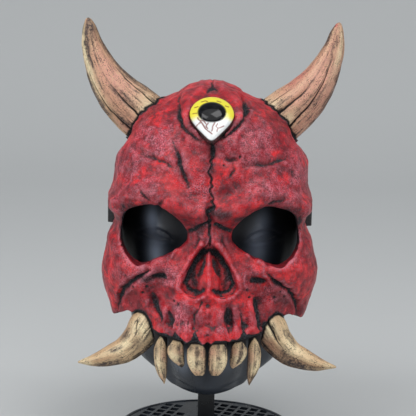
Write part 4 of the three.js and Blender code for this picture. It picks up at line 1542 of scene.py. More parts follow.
@dataclass(frozen=True)
class Root:
    """A tooth's root that bulges under the gum: its ends in the front view and its radii."""

    BEFORE_FACE = -200.0
    SHELL_END = 124.0
    GUM_END = 126.0

    top: Place
    tip: Place
    thick_top: float
    thick_tip: float

    def piece(self, tree: BVHTree) -> Piece:
        """Models the root on the skull's front.

        Args:
            tree: The skull's surface.

        Returns:
            A rounded body that is half sunk in the surface.
        """
        rows = []
        for share in np.linspace(0, 1, 9):
            x, z = np.add(self.top, share * np.subtract(self.tip, self.top))
            thick = self.thick_top + share**1.5 * (self.thick_tip - self.thick_top)
            rows.append([x, self.front(tree, x, z) + (0.3 - 0.42 * share) * thick, z, thick])
        last = rows[-1]
        for turn in (0.5, 0.9, 1.2, 1.45):
            rows.append([last[0], last[1], last[2] - last[3] * math.sin(turn), last[3] * math.cos(turn)])
        return Sweep(BonePiece.swept(np.array(rows)), 20).piece("root")

    @staticmethod
    def front(tree: BVHTree, x: float, z: float) -> float:
        """The depth of the gum's front, or of the teeth's where the gum ends."""
        teeth = float(GUM.teeth_front(x))
        start = Vector((x, Root.BEFORE_FACE, max(z, Root.SHELL_END))) * MM
        found = tree.ray_cast(start, Vector((0, 1, 0)))
        surface = found[0].y / MM if found[0] is not None else teeth
        return min(surface, teeth) if z < Root.GUM_END else surface


ROOTS = (
    Root((-31.5, 138), (-36, 123.5), 2.6, 3.9), Root((-24.2, 134), (-26.8, 121), 1.8, 2.1),
    Root((-21, 140), (-20.6, 119.5), 2.0, 2.1), Root((-15.3, 146), (-15.3, 117.6), 3.6, 2.9),
    Root((-6.7, 142), (-3.7, 116.6), 2.4, 2.4), Root((5.1, 142), (2.6, 116.4), 1.8, 1.7),
    Root((9.6, 140), (9.2, 120.2), 3.4, 3.6), Root((11, 136), (15.6, 119.6), 2.4, 3.0),
    Root((-0.6, 140), (-0.4, 122.5), 2.2, 2.0),
    Root((19.9, 142), (21.3, 120), 3.0, 2.7), Root((30.2, 144), (34, 124), 3.2, 3.8),
    Root((31.5, 140), (38, 123), 2.4, 3.2),
)

PITS = ((-26, 145), (-22.5, 143), (29, 154), (54.4, 150.6), (50, 146), (0, 122.4), (-50, 148),
        (-46.5, 153), (30.5, 148), (9.5, 247), (21.5, 253), (-57, 152), (57.5, 146.5))

DRY_BRUSHED = patches(
    (-26, 306, 24, 7, 0.5), (28, 306, 24, 7, 0.5), (72, 225, 8, 30, 0.2), (-72, 225, 8, 30, 0.3),
    (-38, 262, 18, 14, 1.0), (28, 262, 18, 14, 1.0), (-14, 238, 8, 16, 0.75), (40, 232, 18, 9, 0.9),
    (-46, 232, 16, 10, 0.6), (-62, 245, 10, 16, 0.6), (66, 240, 10, 20, 0.7), (-30, 165, 14, 8, 0.7),
    (28, 165, 12, 8, 0.6), (-54, 160, 14, 10, 0.9), (52, 150, 12, 9, 0.6), (-20, 134, 12, 12, 0.8),
    (8, 132, 12, 10, 0.45), (28, 134, 10, 10, 0.4), (-56, 176, 12, 6, 0.7), (58, 174, 12, 6, 0.6),
    (0, 195, 6, 10, 0.3), (-6, 226, 5, 14, 0.7))

# Dark patches: partly a black wash, partly painted shade on the sockets' inner walls, under the brows and
# inside the nose
WASH_AND_SHADE_PATCHES = patches(
    (1, 250, 5, 14, 0.5), (-20, 250, 5, 12, 0.35), (-36, 246, 14, 4, 0.4), (34, 246, 16, 4, 0.35),
    (-14, 213, 12, 5, 0.6), (14, 214, 10, 4, 0.4), (-48, 160, 7, 5, 0.75), (50, 160, 7, 5, 0.7),
    (-38, 161, 6, 3.5, 0.85), (38, 160, 6, 3.5, 0.85), (-38, 134, 4, 8, 0.8), (38, 132, 4, 9, 0.8),
    (-60, 146, 8, 7, 0.4), (60, 144, 8, 7, 0.5), (22, 150, 5, 6, 0.5), (-22, 142, 6, 4, 0.4),
    (-8, 138, 3, 5, 0.5), (16, 132, 2.5, 8, 0.6), (26, 128, 2.5, 8, 0.6), (-28, 128, 2.5, 7, 0.6),
    (-56, 226, 8, 5, 0.5), (-8, 198, 4, 6, 0.35), (12, 196, 4, 5, 0.35), (0, 116, 3, 4, 0.6),
    (-24, 206, 12, 4, 0.7), (26, 207, 14, 4, 0.7), (-14, 226, 6, 6, 0.3), (16, 232, 10, 12, 0.35),
    (44, 214, 10, 4, 0.5), (-46, 214, 10, 4, 0.5), (-11, 158, 4, 8, 1.0), (12, 156, 5, 7, 1.0),
    (-8, 171, 3, 8, 0.6), (8.5, 171, 3, 8, 0.6), (0, 242, 4, 6, 0.4), (-2, 210, 5, 6, 0.7),
    (-65, 198, 4, 15, 1.2), (67, 201, 4, 14, 1.2), (-58, 212, 8, 3, 0.7), (60, 213, 8, 3, 0.7),
    (-40, 212, 14, 3.5, 0.6), (40, 213, 16, 4, 0.8), (8, 212, 8, 5, 0.5), (0, 200, 14, 4, 0.5))

# Brighter red paint and painted highlights where the red would catch the lamps
BRIGHT_RED_AND_HIGHLIGHT_PATCHES = patches(
    (-30, 302, 22, 9, 0.6), (28, 302, 22, 9, 0.7), (-28, 232, 12, 7, 1.0), (-15, 248, 7, 9, 0.9),
    (-8, 232, 5, 10, 0.6), (0, 168, 8, 18, 0.9), (-26, 214, 14, 6, 0.8), (24, 216, 16, 6, 0.8),
    (-62, 262, 10, 8, 0.6), (66, 262, 8, 8, 0.7), (30, 291, 12, 6, 0.6), (-28, 291, 10, 6, 0.6),
    (20, 240, 7, 7, 0.6), (-60, 196, 6, 12, 0.6), (62, 168, 14, 8, 0.8), (-62, 168, 10, 6, 0.6),
    (32, 140, 6, 14, 0.8), (-40, 122, 6, 6, 0.9), (-16, 118, 7, 6, 1.0), (6, 118, 8, 6, 0.9),
    (24, 118, 8, 6, 0.7), (0, 138, 10, 8, 0.7), (-10, 148, 8, 5, 0.7), (11, 148, 8, 5, 0.7),
    (76, 150, 8, 18, 0.4), (-78, 150, 6, 18, 0.3), (9, 165, 6, 14, 0.6), (-9, 165, 6, 14, 0.5),
    (-22, 180, 5, 10, 0.7), (24, 178, 5, 10, 0.7), (-36, 121, 4, 5, 1.0), (-15.5, 117, 4, 6, 1.0),
    (-4, 116.5, 3, 5, 1.0), (3, 117, 3, 5, 0.9), (12, 119, 6, 5, 0.9), (21, 119, 4, 5, 1.0),
    (36, 122, 5, 6, 1.0))


@dataclass
class SkullMask:
    """The carved and painted shell of the mask."""

    horns: tuple[Horn, ...]
    cell: float = 1.1
    softening: int = 7
    lump_height: float = 0.65
    grain_height: float = 0.22
    lip_height: float = 1.8
    lip_drop: float = 6.0
    lip_reach: float = 22.0
    pit_depth: float = 1.5
    pit_radius: float = 1.1
    gum_reach: float = 44.0
    temple_swell: float = 3.0
    right_temple_more: float = 1.6
    temple_z: float = 248.0
    rim_swell: float = 1.0
    rim_z: float = 217.0
    cheek_draw: float = 1.0
    cheek_z: float = 165.0
    strap_notch: float = 4.2
    strap_z: float = 200.0
    plate_corner: Place = (72.0, 124.0)
    notch_x: float = 60.5
    left_notch_lift: float = 4.0
    right_notch_lift: float = 2.6
    seed: int = 11

    def build(self) -> Piece:
        """Refines the frame's shell, carves and paints it.

        Returns:
            The finished piece.
        """
        piece = copy_of_node("skull_mask", "skull_shell")
        tree = tree_of(piece)
        joined(piece, [GUM.piece()] + [root.piece(tree) for root in ROOTS])
        refined(piece, self.cell, self.softening)
        sculpt = Sculpt(piece)
        self.reshape(sculpt)
        grain = Grain(self.seed)
        outer = self.outwardness(sculpt)
        ink, shine = self.carve(sculpt, grain, outer)
        ink = np.maximum(ink, self.horn_lips(sculpt, grain, outer))
        self.roughen(sculpt, grain, outer)
        self.paint(sculpt, grain, outer, ink, shine)
        ride_as(piece, RedBone().make(), "red_skull", "skull_mask")
        return piece

    def reshape(self, sculpt: Sculpt) -> None:
        """Swells the temples, draws in the strap's place and rounds the cheek plates' lower corners.

        Args:
            sculpt: The shell, which is reshaped in place.
        """
        side = np.sign(sculpt.points[:, 0]) * smoothstep(np.abs(sculpt.points[:, 0]), 45, 72)
        level = sculpt.points[:, 2]
        swell = (self.temple_swell + self.right_temple_more * (side > 0)) * bell(level - self.temple_z, 17)
        swell += self.rim_swell * bell(level - self.rim_z, 5)
        swell -= self.cheek_draw * bell(level - self.cheek_z, 22) * (side < 0)
        sculpt.points[:, 0] += side * swell
        edge = np.sign(side) * smoothstep(np.abs(sculpt.points[:, 0]), 65, 74)
        sculpt.points[:, 0] -= self.strap_notch * edge * bell(level - self.strap_z, 9)
        low = 1 - smoothstep(level, 123, 136)
        lift = np.where(sculpt.points[:, 0] < 0, self.left_notch_lift, self.right_notch_lift)
        sculpt.points[:, 2] += lift * low * bell(np.abs(sculpt.points[:, 0]) - self.notch_x, 5)
        smooth = sculpt.averaged(sculpt.points, 60)
        corner = np.linalg.norm(np.abs(sculpt.flat) - self.plate_corner, axis=1)
        weight = bell(corner, 11)[:, None]
        sculpt.points += weight * (smooth - sculpt.points)

    @staticmethod
    def outwardness(sculpt: Sculpt) -> Array:
        """How far each point's surface faces away from the mask's middle, 0 to 1."""
        away = sculpt.points - [0, SCALE.axis_y, 0]
        away[:, 2] = np.clip(sculpt.points[:, 2] - SCALE.up(0.6), 0, None)
        away /= np.linalg.norm(away, axis=1, keepdims=True)
        facing = np.einsum("ij,ij->i", sculpt.normals(), away)
        return smoothstep(facing, 0.05, 0.45)

    def carve(self, sculpt: Sculpt, grain: Grain, outer: Array) -> tuple[Array, Array]:
        """Cuts the cracks, raises the ridges and sinks the pits.

        Args:
            sculpt: The surface.
            grain: The mask's noise.
            outer: Where the surface faces outwards.

        Returns:
            The dark wash that gathers in them and the painted highlight along the ridges, 0 to 1.
        """
        normals = sculpt.averaged(sculpt.normals(), 4)
        wander = grain.drift(sculpt.points, 6, 0, 50)
        broken = smoothstep(grain.layered(sculpt.points + 11, 2.4, 3), -0.55, 0.15)
        relief, ink, shine = np.zeros((3, len(outer)))
        for stroke in RIDGES + APERTURE + CRACKS:
            distance, along = line_distance(sculpt.flat + stroke.wander * wander, stroke.places)
            strength = stroke.strength(along, 0.04)
            cut = bell(distance, stroke.width) * strength
            relief -= stroke.depth * cut
            lip = stroke.lip * stroke.depth * strength
            relief += lip * bell(distance - 2.1 * stroke.width, stroke.width)
            core = smoothstep(cut, 0.3, 0.85) * (1 - (1 - stroke.ink) * (1 - broken))
            halo = 0.45 * bell(distance, 2.4 * stroke.width) * strength * broken
            ink = np.maximum(ink, stroke.ink * np.maximum(core, halo))
            # painted highlight along the ridges
            shine = np.maximum(shine, stroke.shine * bell(distance, 1.4 * stroke.width) * strength)
        for x, z in PITS:
            distance = np.linalg.norm(sculpt.flat + 0.5 * wander - [x, z], axis=1)
            relief -= self.pit_depth * bell(distance, self.pit_radius)
            ink = np.maximum(ink, 0.95 * bell(distance, self.pit_radius - 0.1))
        sculpt.points += normals * (relief * outer)[:, None]
        across, level = (sculpt.flat + 0.3 * wander * [1, -1]).T
        edge = np.interp(across, *np.transpose(GUM_LINE))
        gum = smoothstep(edge - level, -0.4, 0.5) * (np.abs(sculpt.points[:, 0]) < self.gum_reach)
        return np.maximum(ink * outer, gum), shine * outer

    def horn_lips(self, sculpt: Sculpt, grain: Grain, outer: Array) -> Array:
        """Draws the shell up round each horn as a ragged lip.

        Args:
            sculpt: The surface.
            grain: The mask's noise.
            outer: Where the surface faces outwards.

        Returns:
            The dark wash in the seam, 0 to 1.
        """
        ink = np.zeros(len(outer))
        for horn in self.horns:
            offset = sculpt.points - horn.base()
            axis = horn.axis() / np.linalg.norm(horn.axis())
            height = offset @ axis
            spoke = offset - height[:, None] * axis
            radius = np.linalg.norm(spoke, axis=1)
            angle = np.arctan2(spoke[:, 1], spoke @ np.cross(axis, [0.0, 1.0, 0.0]))
            teeth = 0.5 + 0.5 * np.sin(angle * 11 + 3 * grain.layered(spoke, 8, 2))
            below = smoothstep(spoke @ [horn.side.value, 0, -1] / radius, 0.2, 1.3)
            sunk = bell(np.clip(radius - horn.base_radius + 2, 0, None), 12) * outer
            sunk = sunk * (np.abs(height) < self.lip_reach + 4)
            sculpt.points -= axis * (self.lip_drop * below * sunk)[:, None]
            beside = np.abs(height) < self.lip_reach
            near = bell(np.clip(radius - horn.base_radius, 0, None), 3.2) * beside * outer
            sculpt.points += axis * (near * self.lip_height * (0.15 + teeth))[:, None]
            sculpt.points -= spoke / radius[:, None] * (0.35 * near)[:, None]
            ink = np.maximum(ink, 0.9 * bell(radius - horn.base_radius, 1.3) * beside)
        return ink

    def roughen(self, sculpt: Sculpt, grain: Grain, outer: Array) -> None:
        """Gives the shell its cast, bony lumps and fine grain.

        Args:
            sculpt: The shell.
            grain: The noise.
            outer: How far each point faces outwards.
        """
        normals = sculpt.normals()
        lumps = grain.layered(sculpt.points, 11, 3)
        fine = grain.layered(sculpt.points + 31, 2.6, 2)
        share = 0.25 + 0.75 * outer
        height = share * (self.lump_height * lumps + self.grain_height * fine)
        sculpt.points += normals * height[:, None]

    @staticmethod
    def paint(sculpt: Sculpt, grain: Grain, outer: Array, ink: Array, shine: Array) -> None:
        """Keeps the numbers that the red finish reads.

        Args:
            sculpt: The surface.
            grain: The mask's noise.
            outer: Where the surface faces outwards.
            ink: The dark wash in cracks and seams.
            shine: The painted highlight along ridges.
        """
        spots = sculpt.flat + 3 * grain.drift(sculpt.points, 9, 9, 19)
        broken = smoothstep(grain.layered(sculpt.points + 77, 5, 4), -0.3, 0.35)
        dry = covered(DRY_BRUSHED, spots)
        # brighter red paint and painted highlights
        glow = np.maximum(covered(BRIGHT_RED_AND_HIGHLIGHT_PATCHES, spots), shine)
        # black wash and painted shade from the dark patches
        wash_and_shade_cover = covered(WASH_AND_SHADE_PATCHES, spots) * (0.4 + 0.6 * broken)
        # Painted shade on the shell's inner side, darker where it faces down
        up = smoothstep(sculpt.normals()[:, 2], 0.1, 0.6)
        inner_shade = (1 - outer) * (1 - 0.7 * up)
        ink = np.maximum.reduce([ink, 0.8 * inner_shade, 0.8 * wash_and_shade_cover])
        sculpt.paint("ink", np.clip(ink, 0, 1))
        sculpt.paint("dry", (0.18 + 0.82 * dry) * (0.35 + 0.65 * broken) * outer)
        sculpt.paint("glow", glow * (0.45 + 0.55 * broken) * outer)
        sculpt.paint("crease", sculpt.cavity(3))
        sculpt.paint("hollow", sculpt.cavity(40))


# Third eye


@dataclass
class ThirdEye:
    """The teardrop eye on the forehead with its polished pupil."""

    length: float = 42.0
    half_width: float = 16.7
    seat_depth: float = 5.0
    dome: float = 3.4
    top_share: float = 0.44
    low_share: float = 0.56
    shift: float = 0.02
    narrowing: float = 0.42
    tip_pull: float = 0.07
    frame_top: float = 0.42
    frame_tip: float = 0.7
    tilt: float = math.radians(50)
    pupil_radius: float = 10.3
    pupil_dome: float = 4.2
    pupil_seat: float = 2.2
    pupil_offset: float = 0.8
    seed: int = 5

    VEINS = (
        ((-10.5, -5), (-8, -9), (-5.5, -14), (-2.5, -18), (0.5, -20.5)),
        ((-8, -9), (-11, -12)),
        ((-9.3, -7), (-6, -8.5), (-4.3, -11)),
        ((-2.5, -10.5), (-4.3, -13.5), (-2.8, -15.5)),
        ((2.2, -10), (0.8, -14), (0.2, -18)),
        ((4.4, -11), (3, -13.5), (4.5, -15), (3.8, -18)),
        ((9, -12), (6.5, -14), (4.5, -15)),
        ((-8, 12), (-5, 13.2), (-3.5, 12.2)), ((4, 13), (6.5, 12.2)), ((10, 8), (12.5, 7.4)),
        ((-13, 6), (-10.5, 6.8)), ((-14, 0), (-11.5, -0.4)),
    )

    def axes(self) -> tuple[Array, Array, Array]:
        """The eye's middle, the way up its face and the way out of it.

        Returns:
            The middle, in millimetres, and the two directions.
        """
        rise = np.array([0, math.sin(self.tilt), math.cos(self.tilt)])
        out = np.array([0, -math.cos(self.tilt), math.sin(self.tilt)])
        low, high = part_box("third_eye")
        tip = (self.shift - self.frame_tip) * self.length * rise
        crown = (self.frame_top + self.shift) * self.length * rise
        return np.array([0, low.y / MM - tip[1], high.z / MM - crown[2]]), rise, out

    def outline(self, angle: float) -> Place:
        """A point of the teardrop.

        Args:
            angle: The turn from the eye's right side.

        Returns:
            Its place across and up the eye's face.
        """
        sine = math.sin(angle)
        low = max(-sine, 0)
        across = self.half_width * math.cos(angle) * (1 - self.narrowing * low**1.5)
        share = self.top_share if sine > 0 else self.low_share
        return across, self.length * (share * sine - self.tip_pull * low**8 + self.shift)

    def build(self) -> None:
        """Builds the eyeball and the pupil and fixes them to the frame."""
        middle, rise, out = self.axes()
        rings = [Ring(middle - self.seat_depth * out, np.array([1.0, 0, 0]), rise)]
        steps = 45
        for k in range(steps + 1):
            share = math.cos(math.pi / 2 * (k / steps)) if k < steps else 0.02
            height = self.dome * math.sqrt(max(1 - share**2.4, 0))
            rings.append(Ring(middle + height * out, np.array([share, 0, 0]), rise * share))
        piece = Sweep(rings, 140, lambda angle, ring: self.outline(angle)).piece("third_eyeball")
        self.paint(Sculpt(piece), middle, rise)
        ride_as(piece, PaintedEye().make(), "eye_paint", "third_eye")
        self.build_pupil(middle, rise, out)

    def paint(self, sculpt: Sculpt, middle: Array, rise: Array) -> None:
        """Keeps the numbers that the eye's finish reads.

        Args:
            sculpt: The eyeball's surface.
            middle: The eye's middle.
            rise: The way up its face.
        """
        offset = sculpt.points - middle
        face = np.column_stack([offset[:, 0], offset @ rise])
        grain = Grain(self.seed)
        wander = grain.layered(sculpt.points, 3, 3)
        yellow = smoothstep(face[:, 1] + 1.0 * wander, -8.5, -2.0)
        vein = np.zeros(len(face))
        for line in self.VEINS:
            distance, _ = line_distance(face + 0.35 * wander[:, None], line)
            vein = np.maximum(vein, 0.9 * smoothstep(-distance, -0.75, -0.3))
        pupil = np.linalg.norm(face - [0, self.pupil_offset], axis=1) - self.pupil_radius
        rim = smoothstep(-(offset @ self.axes()[2]), -0.9, 0.2)
        sculpt.paint("yellow", yellow)
        sculpt.paint("vein", vein)
        sculpt.paint("ink", np.maximum(rim, 0.8 * (1 - smoothstep(pupil, 0.2, 1.0))))

    def build_pupil(self, middle: Array, rise: Array, out: Array) -> None:
        """Spins the pupil's dome and sets it into the eye.

        Args:
            middle: The eye's middle.
            rise: The way up its face.
            out: The way out of it.
        """
        steps, brim = 20, 1.0
        seat = 0.5 * self.dome
        profile = [(0.0, seat - self.pupil_seat), (self.pupil_radius, seat - self.pupil_seat)]
        for k in range(steps + 1):
            angle = math.pi / 2 * k / steps
            height = seat + ((self.pupil_dome - brim) * math.sin(angle) + brim)
            profile.append((self.pupil_radius * math.cos(angle), height))
        turn = Matrix((Vector((1, 0, 0)), Vector(rise), Vector(out))).transposed().to_4x4()
        place = Matrix.Translation(Vector((middle + self.pupil_offset * rise) * MM))
        piece = turned("pupil_dome", profile, 72, place @ turn)
        ride_as(piece, GlossPupil().make(), "pupil_gloss", "pupil")


# Display head, strap and stand


FACE_LINES = (
    Stroke(((-56, 186), (-48, 190.5), (-40, 191.5), (-33, 189), (-28, 185)), 1.1, 1.6, 0, 0.7, 0),
    Stroke(((56, 186), (48, 190.5), (40, 191.5), (33, 189), (28, 185)), 1.1, 1.6, 0, 0.7, 0),
    Stroke(((-55, 186), (-46, 182.5), (-36, 182), (-29, 185)), 1.0, 0.9, 0, 0.5, 0),
    Stroke(((55, 186), (46, 182.5), (36, 182), (29, 185)), 1.0, 0.9, 0, 0.5, 0),
    Stroke(((-19, 129), (-8, 130.5), (0, 129.5), (8, 130.5), (19, 129)), 1.2, 1.4, 0, 0.5, 0),
)


@dataclass
class DisplayHead:
    """The plain black head that wears the mask."""

    cell: float = 1.7
    softening: int = 60

    # Painted shadow on the head behind the teeth and under the mask's rims
    SHADED = patches((0, 113, 56, 13, 1.4), (68, 196, 14, 36, 1.0), (50, 224, 30, 10, 1.0),
                     (56, 208, 12, 12, 0.9), (26, 214, 12, 14, 0.85), (22, 190, 8, 20, 0.5))
    # Painted highlights where the head's gloss would catch the lamps, in the sockets and on the chin
    HEAD_HIGHLIGHTS = patches((-45, 199, 5, 9, 0.8), (-42, 173, 6, 12, 0.9), (38, 178, 7, 14, 0.55),
                   (41, 200, 5, 8, 0.25), (-20, 88, 6, 9, 0.38), (16, 88, 7, 8, 0.12))

    def build(self) -> None:
        """Builds the smooth head and fixes it to the frame."""
        piece = copy_of_node("display_head", "head_form")
        refined(piece, self.cell, self.softening)
        sculpt = Sculpt(piece)
        self.shape_chin(sculpt)
        normals = sculpt.normals()
        front = smoothstep(-normals[:, 1], 0.1, 0.5)
        for line in FACE_LINES:
            distance, along = line_distance(sculpt.flat, line.places)
            strength = line.strength(along, 0.03)
            cut = -line.depth * bell(distance, line.width) * strength
            cut += line.lip * line.depth * bell(distance - 2.2 * line.width, 1.6 * line.width) * strength
            sculpt.points += normals * (cut * front)[:, None]
        forward = smoothstep(-sculpt.points[:, 1], 10, 30)
        # painted shadow and painted highlights for the head's finish
        sculpt.paint("shade", covered(self.SHADED, np.abs(sculpt.flat)) * forward)
        sculpt.paint("haze_and_highlight", covered(self.HEAD_HIGHLIGHTS, sculpt.flat) * forward)
        sculpt.store()
        ride_as(piece, SatinPlastic("head_plastic", shaded=True).make(), "head_plastic", "display_head")

    @staticmethod
    def shape_chin(sculpt: Sculpt) -> None:
        """Rounds the chin, drops it a little and leaves the jaw's lobes wide behind it.

        Args:
            sculpt: The head, which is reshaped in place.
        """
        across, deep, level = sculpt.points.T
        front = smoothstep(-deep, 30, 58)
        low = 1 - smoothstep(level, 84, 122)
        fold = bell(deep + 34, 9) * low * smoothstep(np.abs(across), 22, 36)
        full = 1 - smoothstep(level - level.min(), 0.5, 8)
        sculpt.points[:, 0] -= np.sign(across) * (0.33 * np.abs(across) * front * low + 4.0 * fold)
        sculpt.points[:, 0] *= 1 + 0.34 * full * front
        sculpt.points[:, 2] -= 5.6 * smoothstep(-deep, 20, 50) * (1 - smoothstep(level, 68, 104))


@dataclass
class HeadStrap:
    """The woven elastic that holds the mask on."""

    cell: float = 0.8
    softening: int = 5
    mean_radius: float = 80.0

    def build(self) -> None:
        """Builds the strap and fixes it to the frame."""
        piece = copy_of_node("head_strap", "elastic_strap")
        refined(piece, self.cell, self.softening)
        sculpt = Sculpt(piece)
        low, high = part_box("head_strap")
        middle_y = 0.5 * (low.y + high.y) / MM
        angle = np.arctan2(sculpt.points[:, 0], sculpt.points[:, 1] - middle_y)
        sculpt.paint("run", angle * self.mean_radius)
        sculpt.paint("rise", sculpt.points[:, 2] - low.z / MM)
        ride_as(piece, ElasticWebbing().make(), "strap_webbing", "head_strap")


@dataclass
class Foot:
    """The round foot: a perforated plate in a rim, with a hub and one plain band behind it."""

    radius: float = 75.0
    thickness: float = 8.0
    rim: float = 4.0
    plate: float = 2.6
    hub: float = 15.0
    cell_long: float = 13.0
    cell_short: float = 13.5
    web: float = 2.5
    band_half_width: float = 7.6
    band_x: float = -14.5
    cells: int = 28
    slant: float = math.radians(24)
    sunk: float = 0.6
    margin: float = 3.0
    facets: int = 128

    def build(self) -> None:
        """Builds the foot's pieces and fixes them to the frame."""
        black, dusty = srgb(27, 31, 38), srgb(44, 50, 59)
        finish = SatinPlastic("stand_coating", black, dusty, smooth=0.18, worn=0.32).make()
        plate, rim, hub = self.perforated(), self.ring(), self.solid_middle()
        for piece in (plate, rim, hub):
            ride_as(piece, finish, "stand_metal", "stand_foot")

    def perforated(self) -> Piece:
        """The plate with slanted four-sided holes.

        Returns:
            The plate, with its band left whole.
        """
        work = bmesh.new()
        grid = bmesh.ops.create_grid(work, x_segments=self.cells, y_segments=self.cells, size=0.5)
        long, short = self.cell_long, self.cell_short
        lozenge = Matrix(((long, -long, 0), (short, short, 0), (0, 0, 1)))
        turn = Matrix.Rotation(self.slant, 3, "Z")
        scale = 0.5 * self.cells * MM
        bmesh.ops.transform(work, matrix=(turn @ lozenge * scale).to_4x4(), verts=grid["verts"])
        reach = (self.radius - 0.5 * self.rim) * MM
        outside = [face for face in work.faces
                   if all(vert.co.length > reach - 1e-5 for vert in face.verts)]
        bmesh.ops.delete(work, geom=outside, context="FACES")
        for vert in work.verts:
            vert.co *= min(1.0, reach / max(vert.co.length, reach))
        open_cells = [face for face in work.faces if self._is_open(face.calc_center_median() / MM)]
        bmesh.ops.inset_individual(work, faces=open_cells, thickness=0.5 * self.web * MM,
                                   use_even_offset=True)
        bmesh.ops.delete(work, geom=open_cells, context="FACES")
        bmesh.ops.recalc_face_normals(work, faces=work.faces)
        bmesh.ops.solidify(work, geom=work.faces, thickness=self.plate * MM)
        low = min(vert.co.z for vert in work.verts)
        lift = (self.thickness - self.sunk - self.plate) * MM - low
        bmesh.ops.translate(work, verts=work.verts, vec=(0, 0, lift))
        return from_bmesh("foot_plate", work, smooth=False)

    def _is_open(self, middle: Vector) -> bool:
        """Whether a cell of the plate has a hole."""
        away = middle.to_2d().length
        in_band = abs(middle.x - self.band_x) < self.band_half_width and middle.y > 0
        return self.hub + self.margin < away < self.radius - self.rim - self.margin and not in_band

    def ring(self) -> Piece:
        """The rounded rim of the foot."""
        inner, top, round_off = self.radius - self.rim, self.thickness, 1.6
        profile = [(inner, 0.0), (self.radius - round_off, 0.0)]
        profile += self._arc(self.radius - round_off, round_off, round_off, -90, 0)
        profile += self._arc(self.radius - round_off, top - round_off, round_off, 0, 90)
        profile += [(inner + 0.5, top), (inner, top - 0.5), (inner, 0.0)]
        return turned("foot_rim", profile, self.facets)

    def solid_middle(self) -> Piece:
        """The hub that the rod stands in."""
        top = self.thickness
        profile = [(0.0, 0.0), (self.hub, 0.0), (self.hub, top - 1.0)]
        profile += self._arc(self.hub - 1.0, top - 1.0, 1.0, 0, 90)
        profile += [(0.0, top)]
        return turned("foot_hub", profile, self.facets)

    @staticmethod
    def _arc(x: float, z: float, radius: float, start: float, end: float) -> list[Place]:
        """Six points of a round edge between two angles in degrees."""
        turns = [math.radians(start + (end - start) * k / 6) for k in range(1, 7)]
        return [(x + radius * math.cos(turn), z + radius * math.sin(turn)) for turn in turns]


@dataclass
class Rod:
    """The square rod, with a small flare where it enters the head."""

    side: float = 14.0
    flare: float = 2.2
    corner: float = 1.1
    skin: float = 0.05
    overlap: float = 0.4

    def build(self) -> None:
        """Dresses the rod and adds its flare."""
        black, dusty = srgb(22, 24, 27), srgb(34, 37, 42)
        finish = SatinPlastic("rod_coating", black, dusty, smooth=0.26, worn=0.38).make()
        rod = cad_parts["stand_rod"]
        dress(rod, finish)
        LOG.info("%s: the frame's own piece, dressed", rod.name)
        piece = self.collar()
        ride_as(piece, finish, "stand_metal")

    def collar(self) -> Piece:
        """A skirt that widens from the rod's faces to the head's underside.

        Returns:
            The collar's piece.
        """
        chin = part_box("display_head")[0].z
        work = bmesh.new()
        half, steps, rings = 0.5 * self.side + self.skin, 6, []
        for k in range(steps + 1):
            share = k / steps
            spread = half + self.flare * (1 - math.sqrt(1 - share**2))
            level = chin + ((share - 1) * self.flare + self.overlap) * MM
            corners = [(spread, spread), (-spread, spread), (-spread, -spread), (spread, -spread)]
            rings.append([work.verts.new((x * MM, y * MM, level)) for x, y in corners])
        for lower, upper in zip(rings, rings[1:]):
            for i in range(4):
                work.faces.new((lower[i], lower[(i + 1) % 4], upper[(i + 1) % 4], upper[i]))
        work.faces.new(rings[0])
        work.faces.new(rings[-1])
        upright = [edge for edge in work.edges if abs(edge.verts[0].co.z - edge.verts[1].co.z) > 1e-6]
        bmesh.ops.bevel(work, geom=upright, offset=self.corner * MM, offset_type="OFFSET", segments=3,
                        profile=0.5, affect="EDGES", material=-1)
        return from_bmesh("rod_collar", work)


# Room and camera


@dataclass(frozen=True)
class Camera:
    """The photograph's view: a long lens from the front, looking a little down."""

    lens: float = 110.0
    sensor: float = 36.0
    distance: float = 950.0
    target: Row = (-1.57, -95.0, 213.7)
    down: float = math.radians(10)
    roll: float = math.radians(1.1)

    def place(self) -> None:
        """Makes the camera the scene's own."""
        data = bpy.data.cameras.new("view")
        data.lens = self.lens
        data.sensor_width = self.sensor
        camera = link("view", data)
        back = Vector((0, -math.cos(self.down), math.sin(self.down)))
        spot = (Vector(self.target) + back * self.distance) * MM
        turn = back.to_track_quat("Z", "Y").to_matrix() @ Matrix.Rotation(self.roll, 3, "Z")
        camera.matrix_world = Matrix.Translation(spot) @ turn.to_4x4()
        bpy.context.scene.camera = camera


@dataclass(frozen=True)
class Light:
    """A soft rectangular light that faces a point, with sizes in metres."""

    name: str
    spot: Row
    size: Row
    power: float
    aim: Row = (0.0, -0.03, 0.2)

    def place(self) -> None:
        """Hangs the light in the room."""
        data = bpy.data.lights.new(self.name, "AREA")
        data.shape = "RECTANGLE"
        data.size, data.size_y = self.size
        data.energy = self.power
        lamp = link(self.name, data)
        away = Vector(self.spot) - Vector(self.aim)
        turn = away.to_track_quat("Z", "Y").to_matrix().to_4x4()
        lamp.matrix_world = Matrix.Translation(self.spot) @ turn


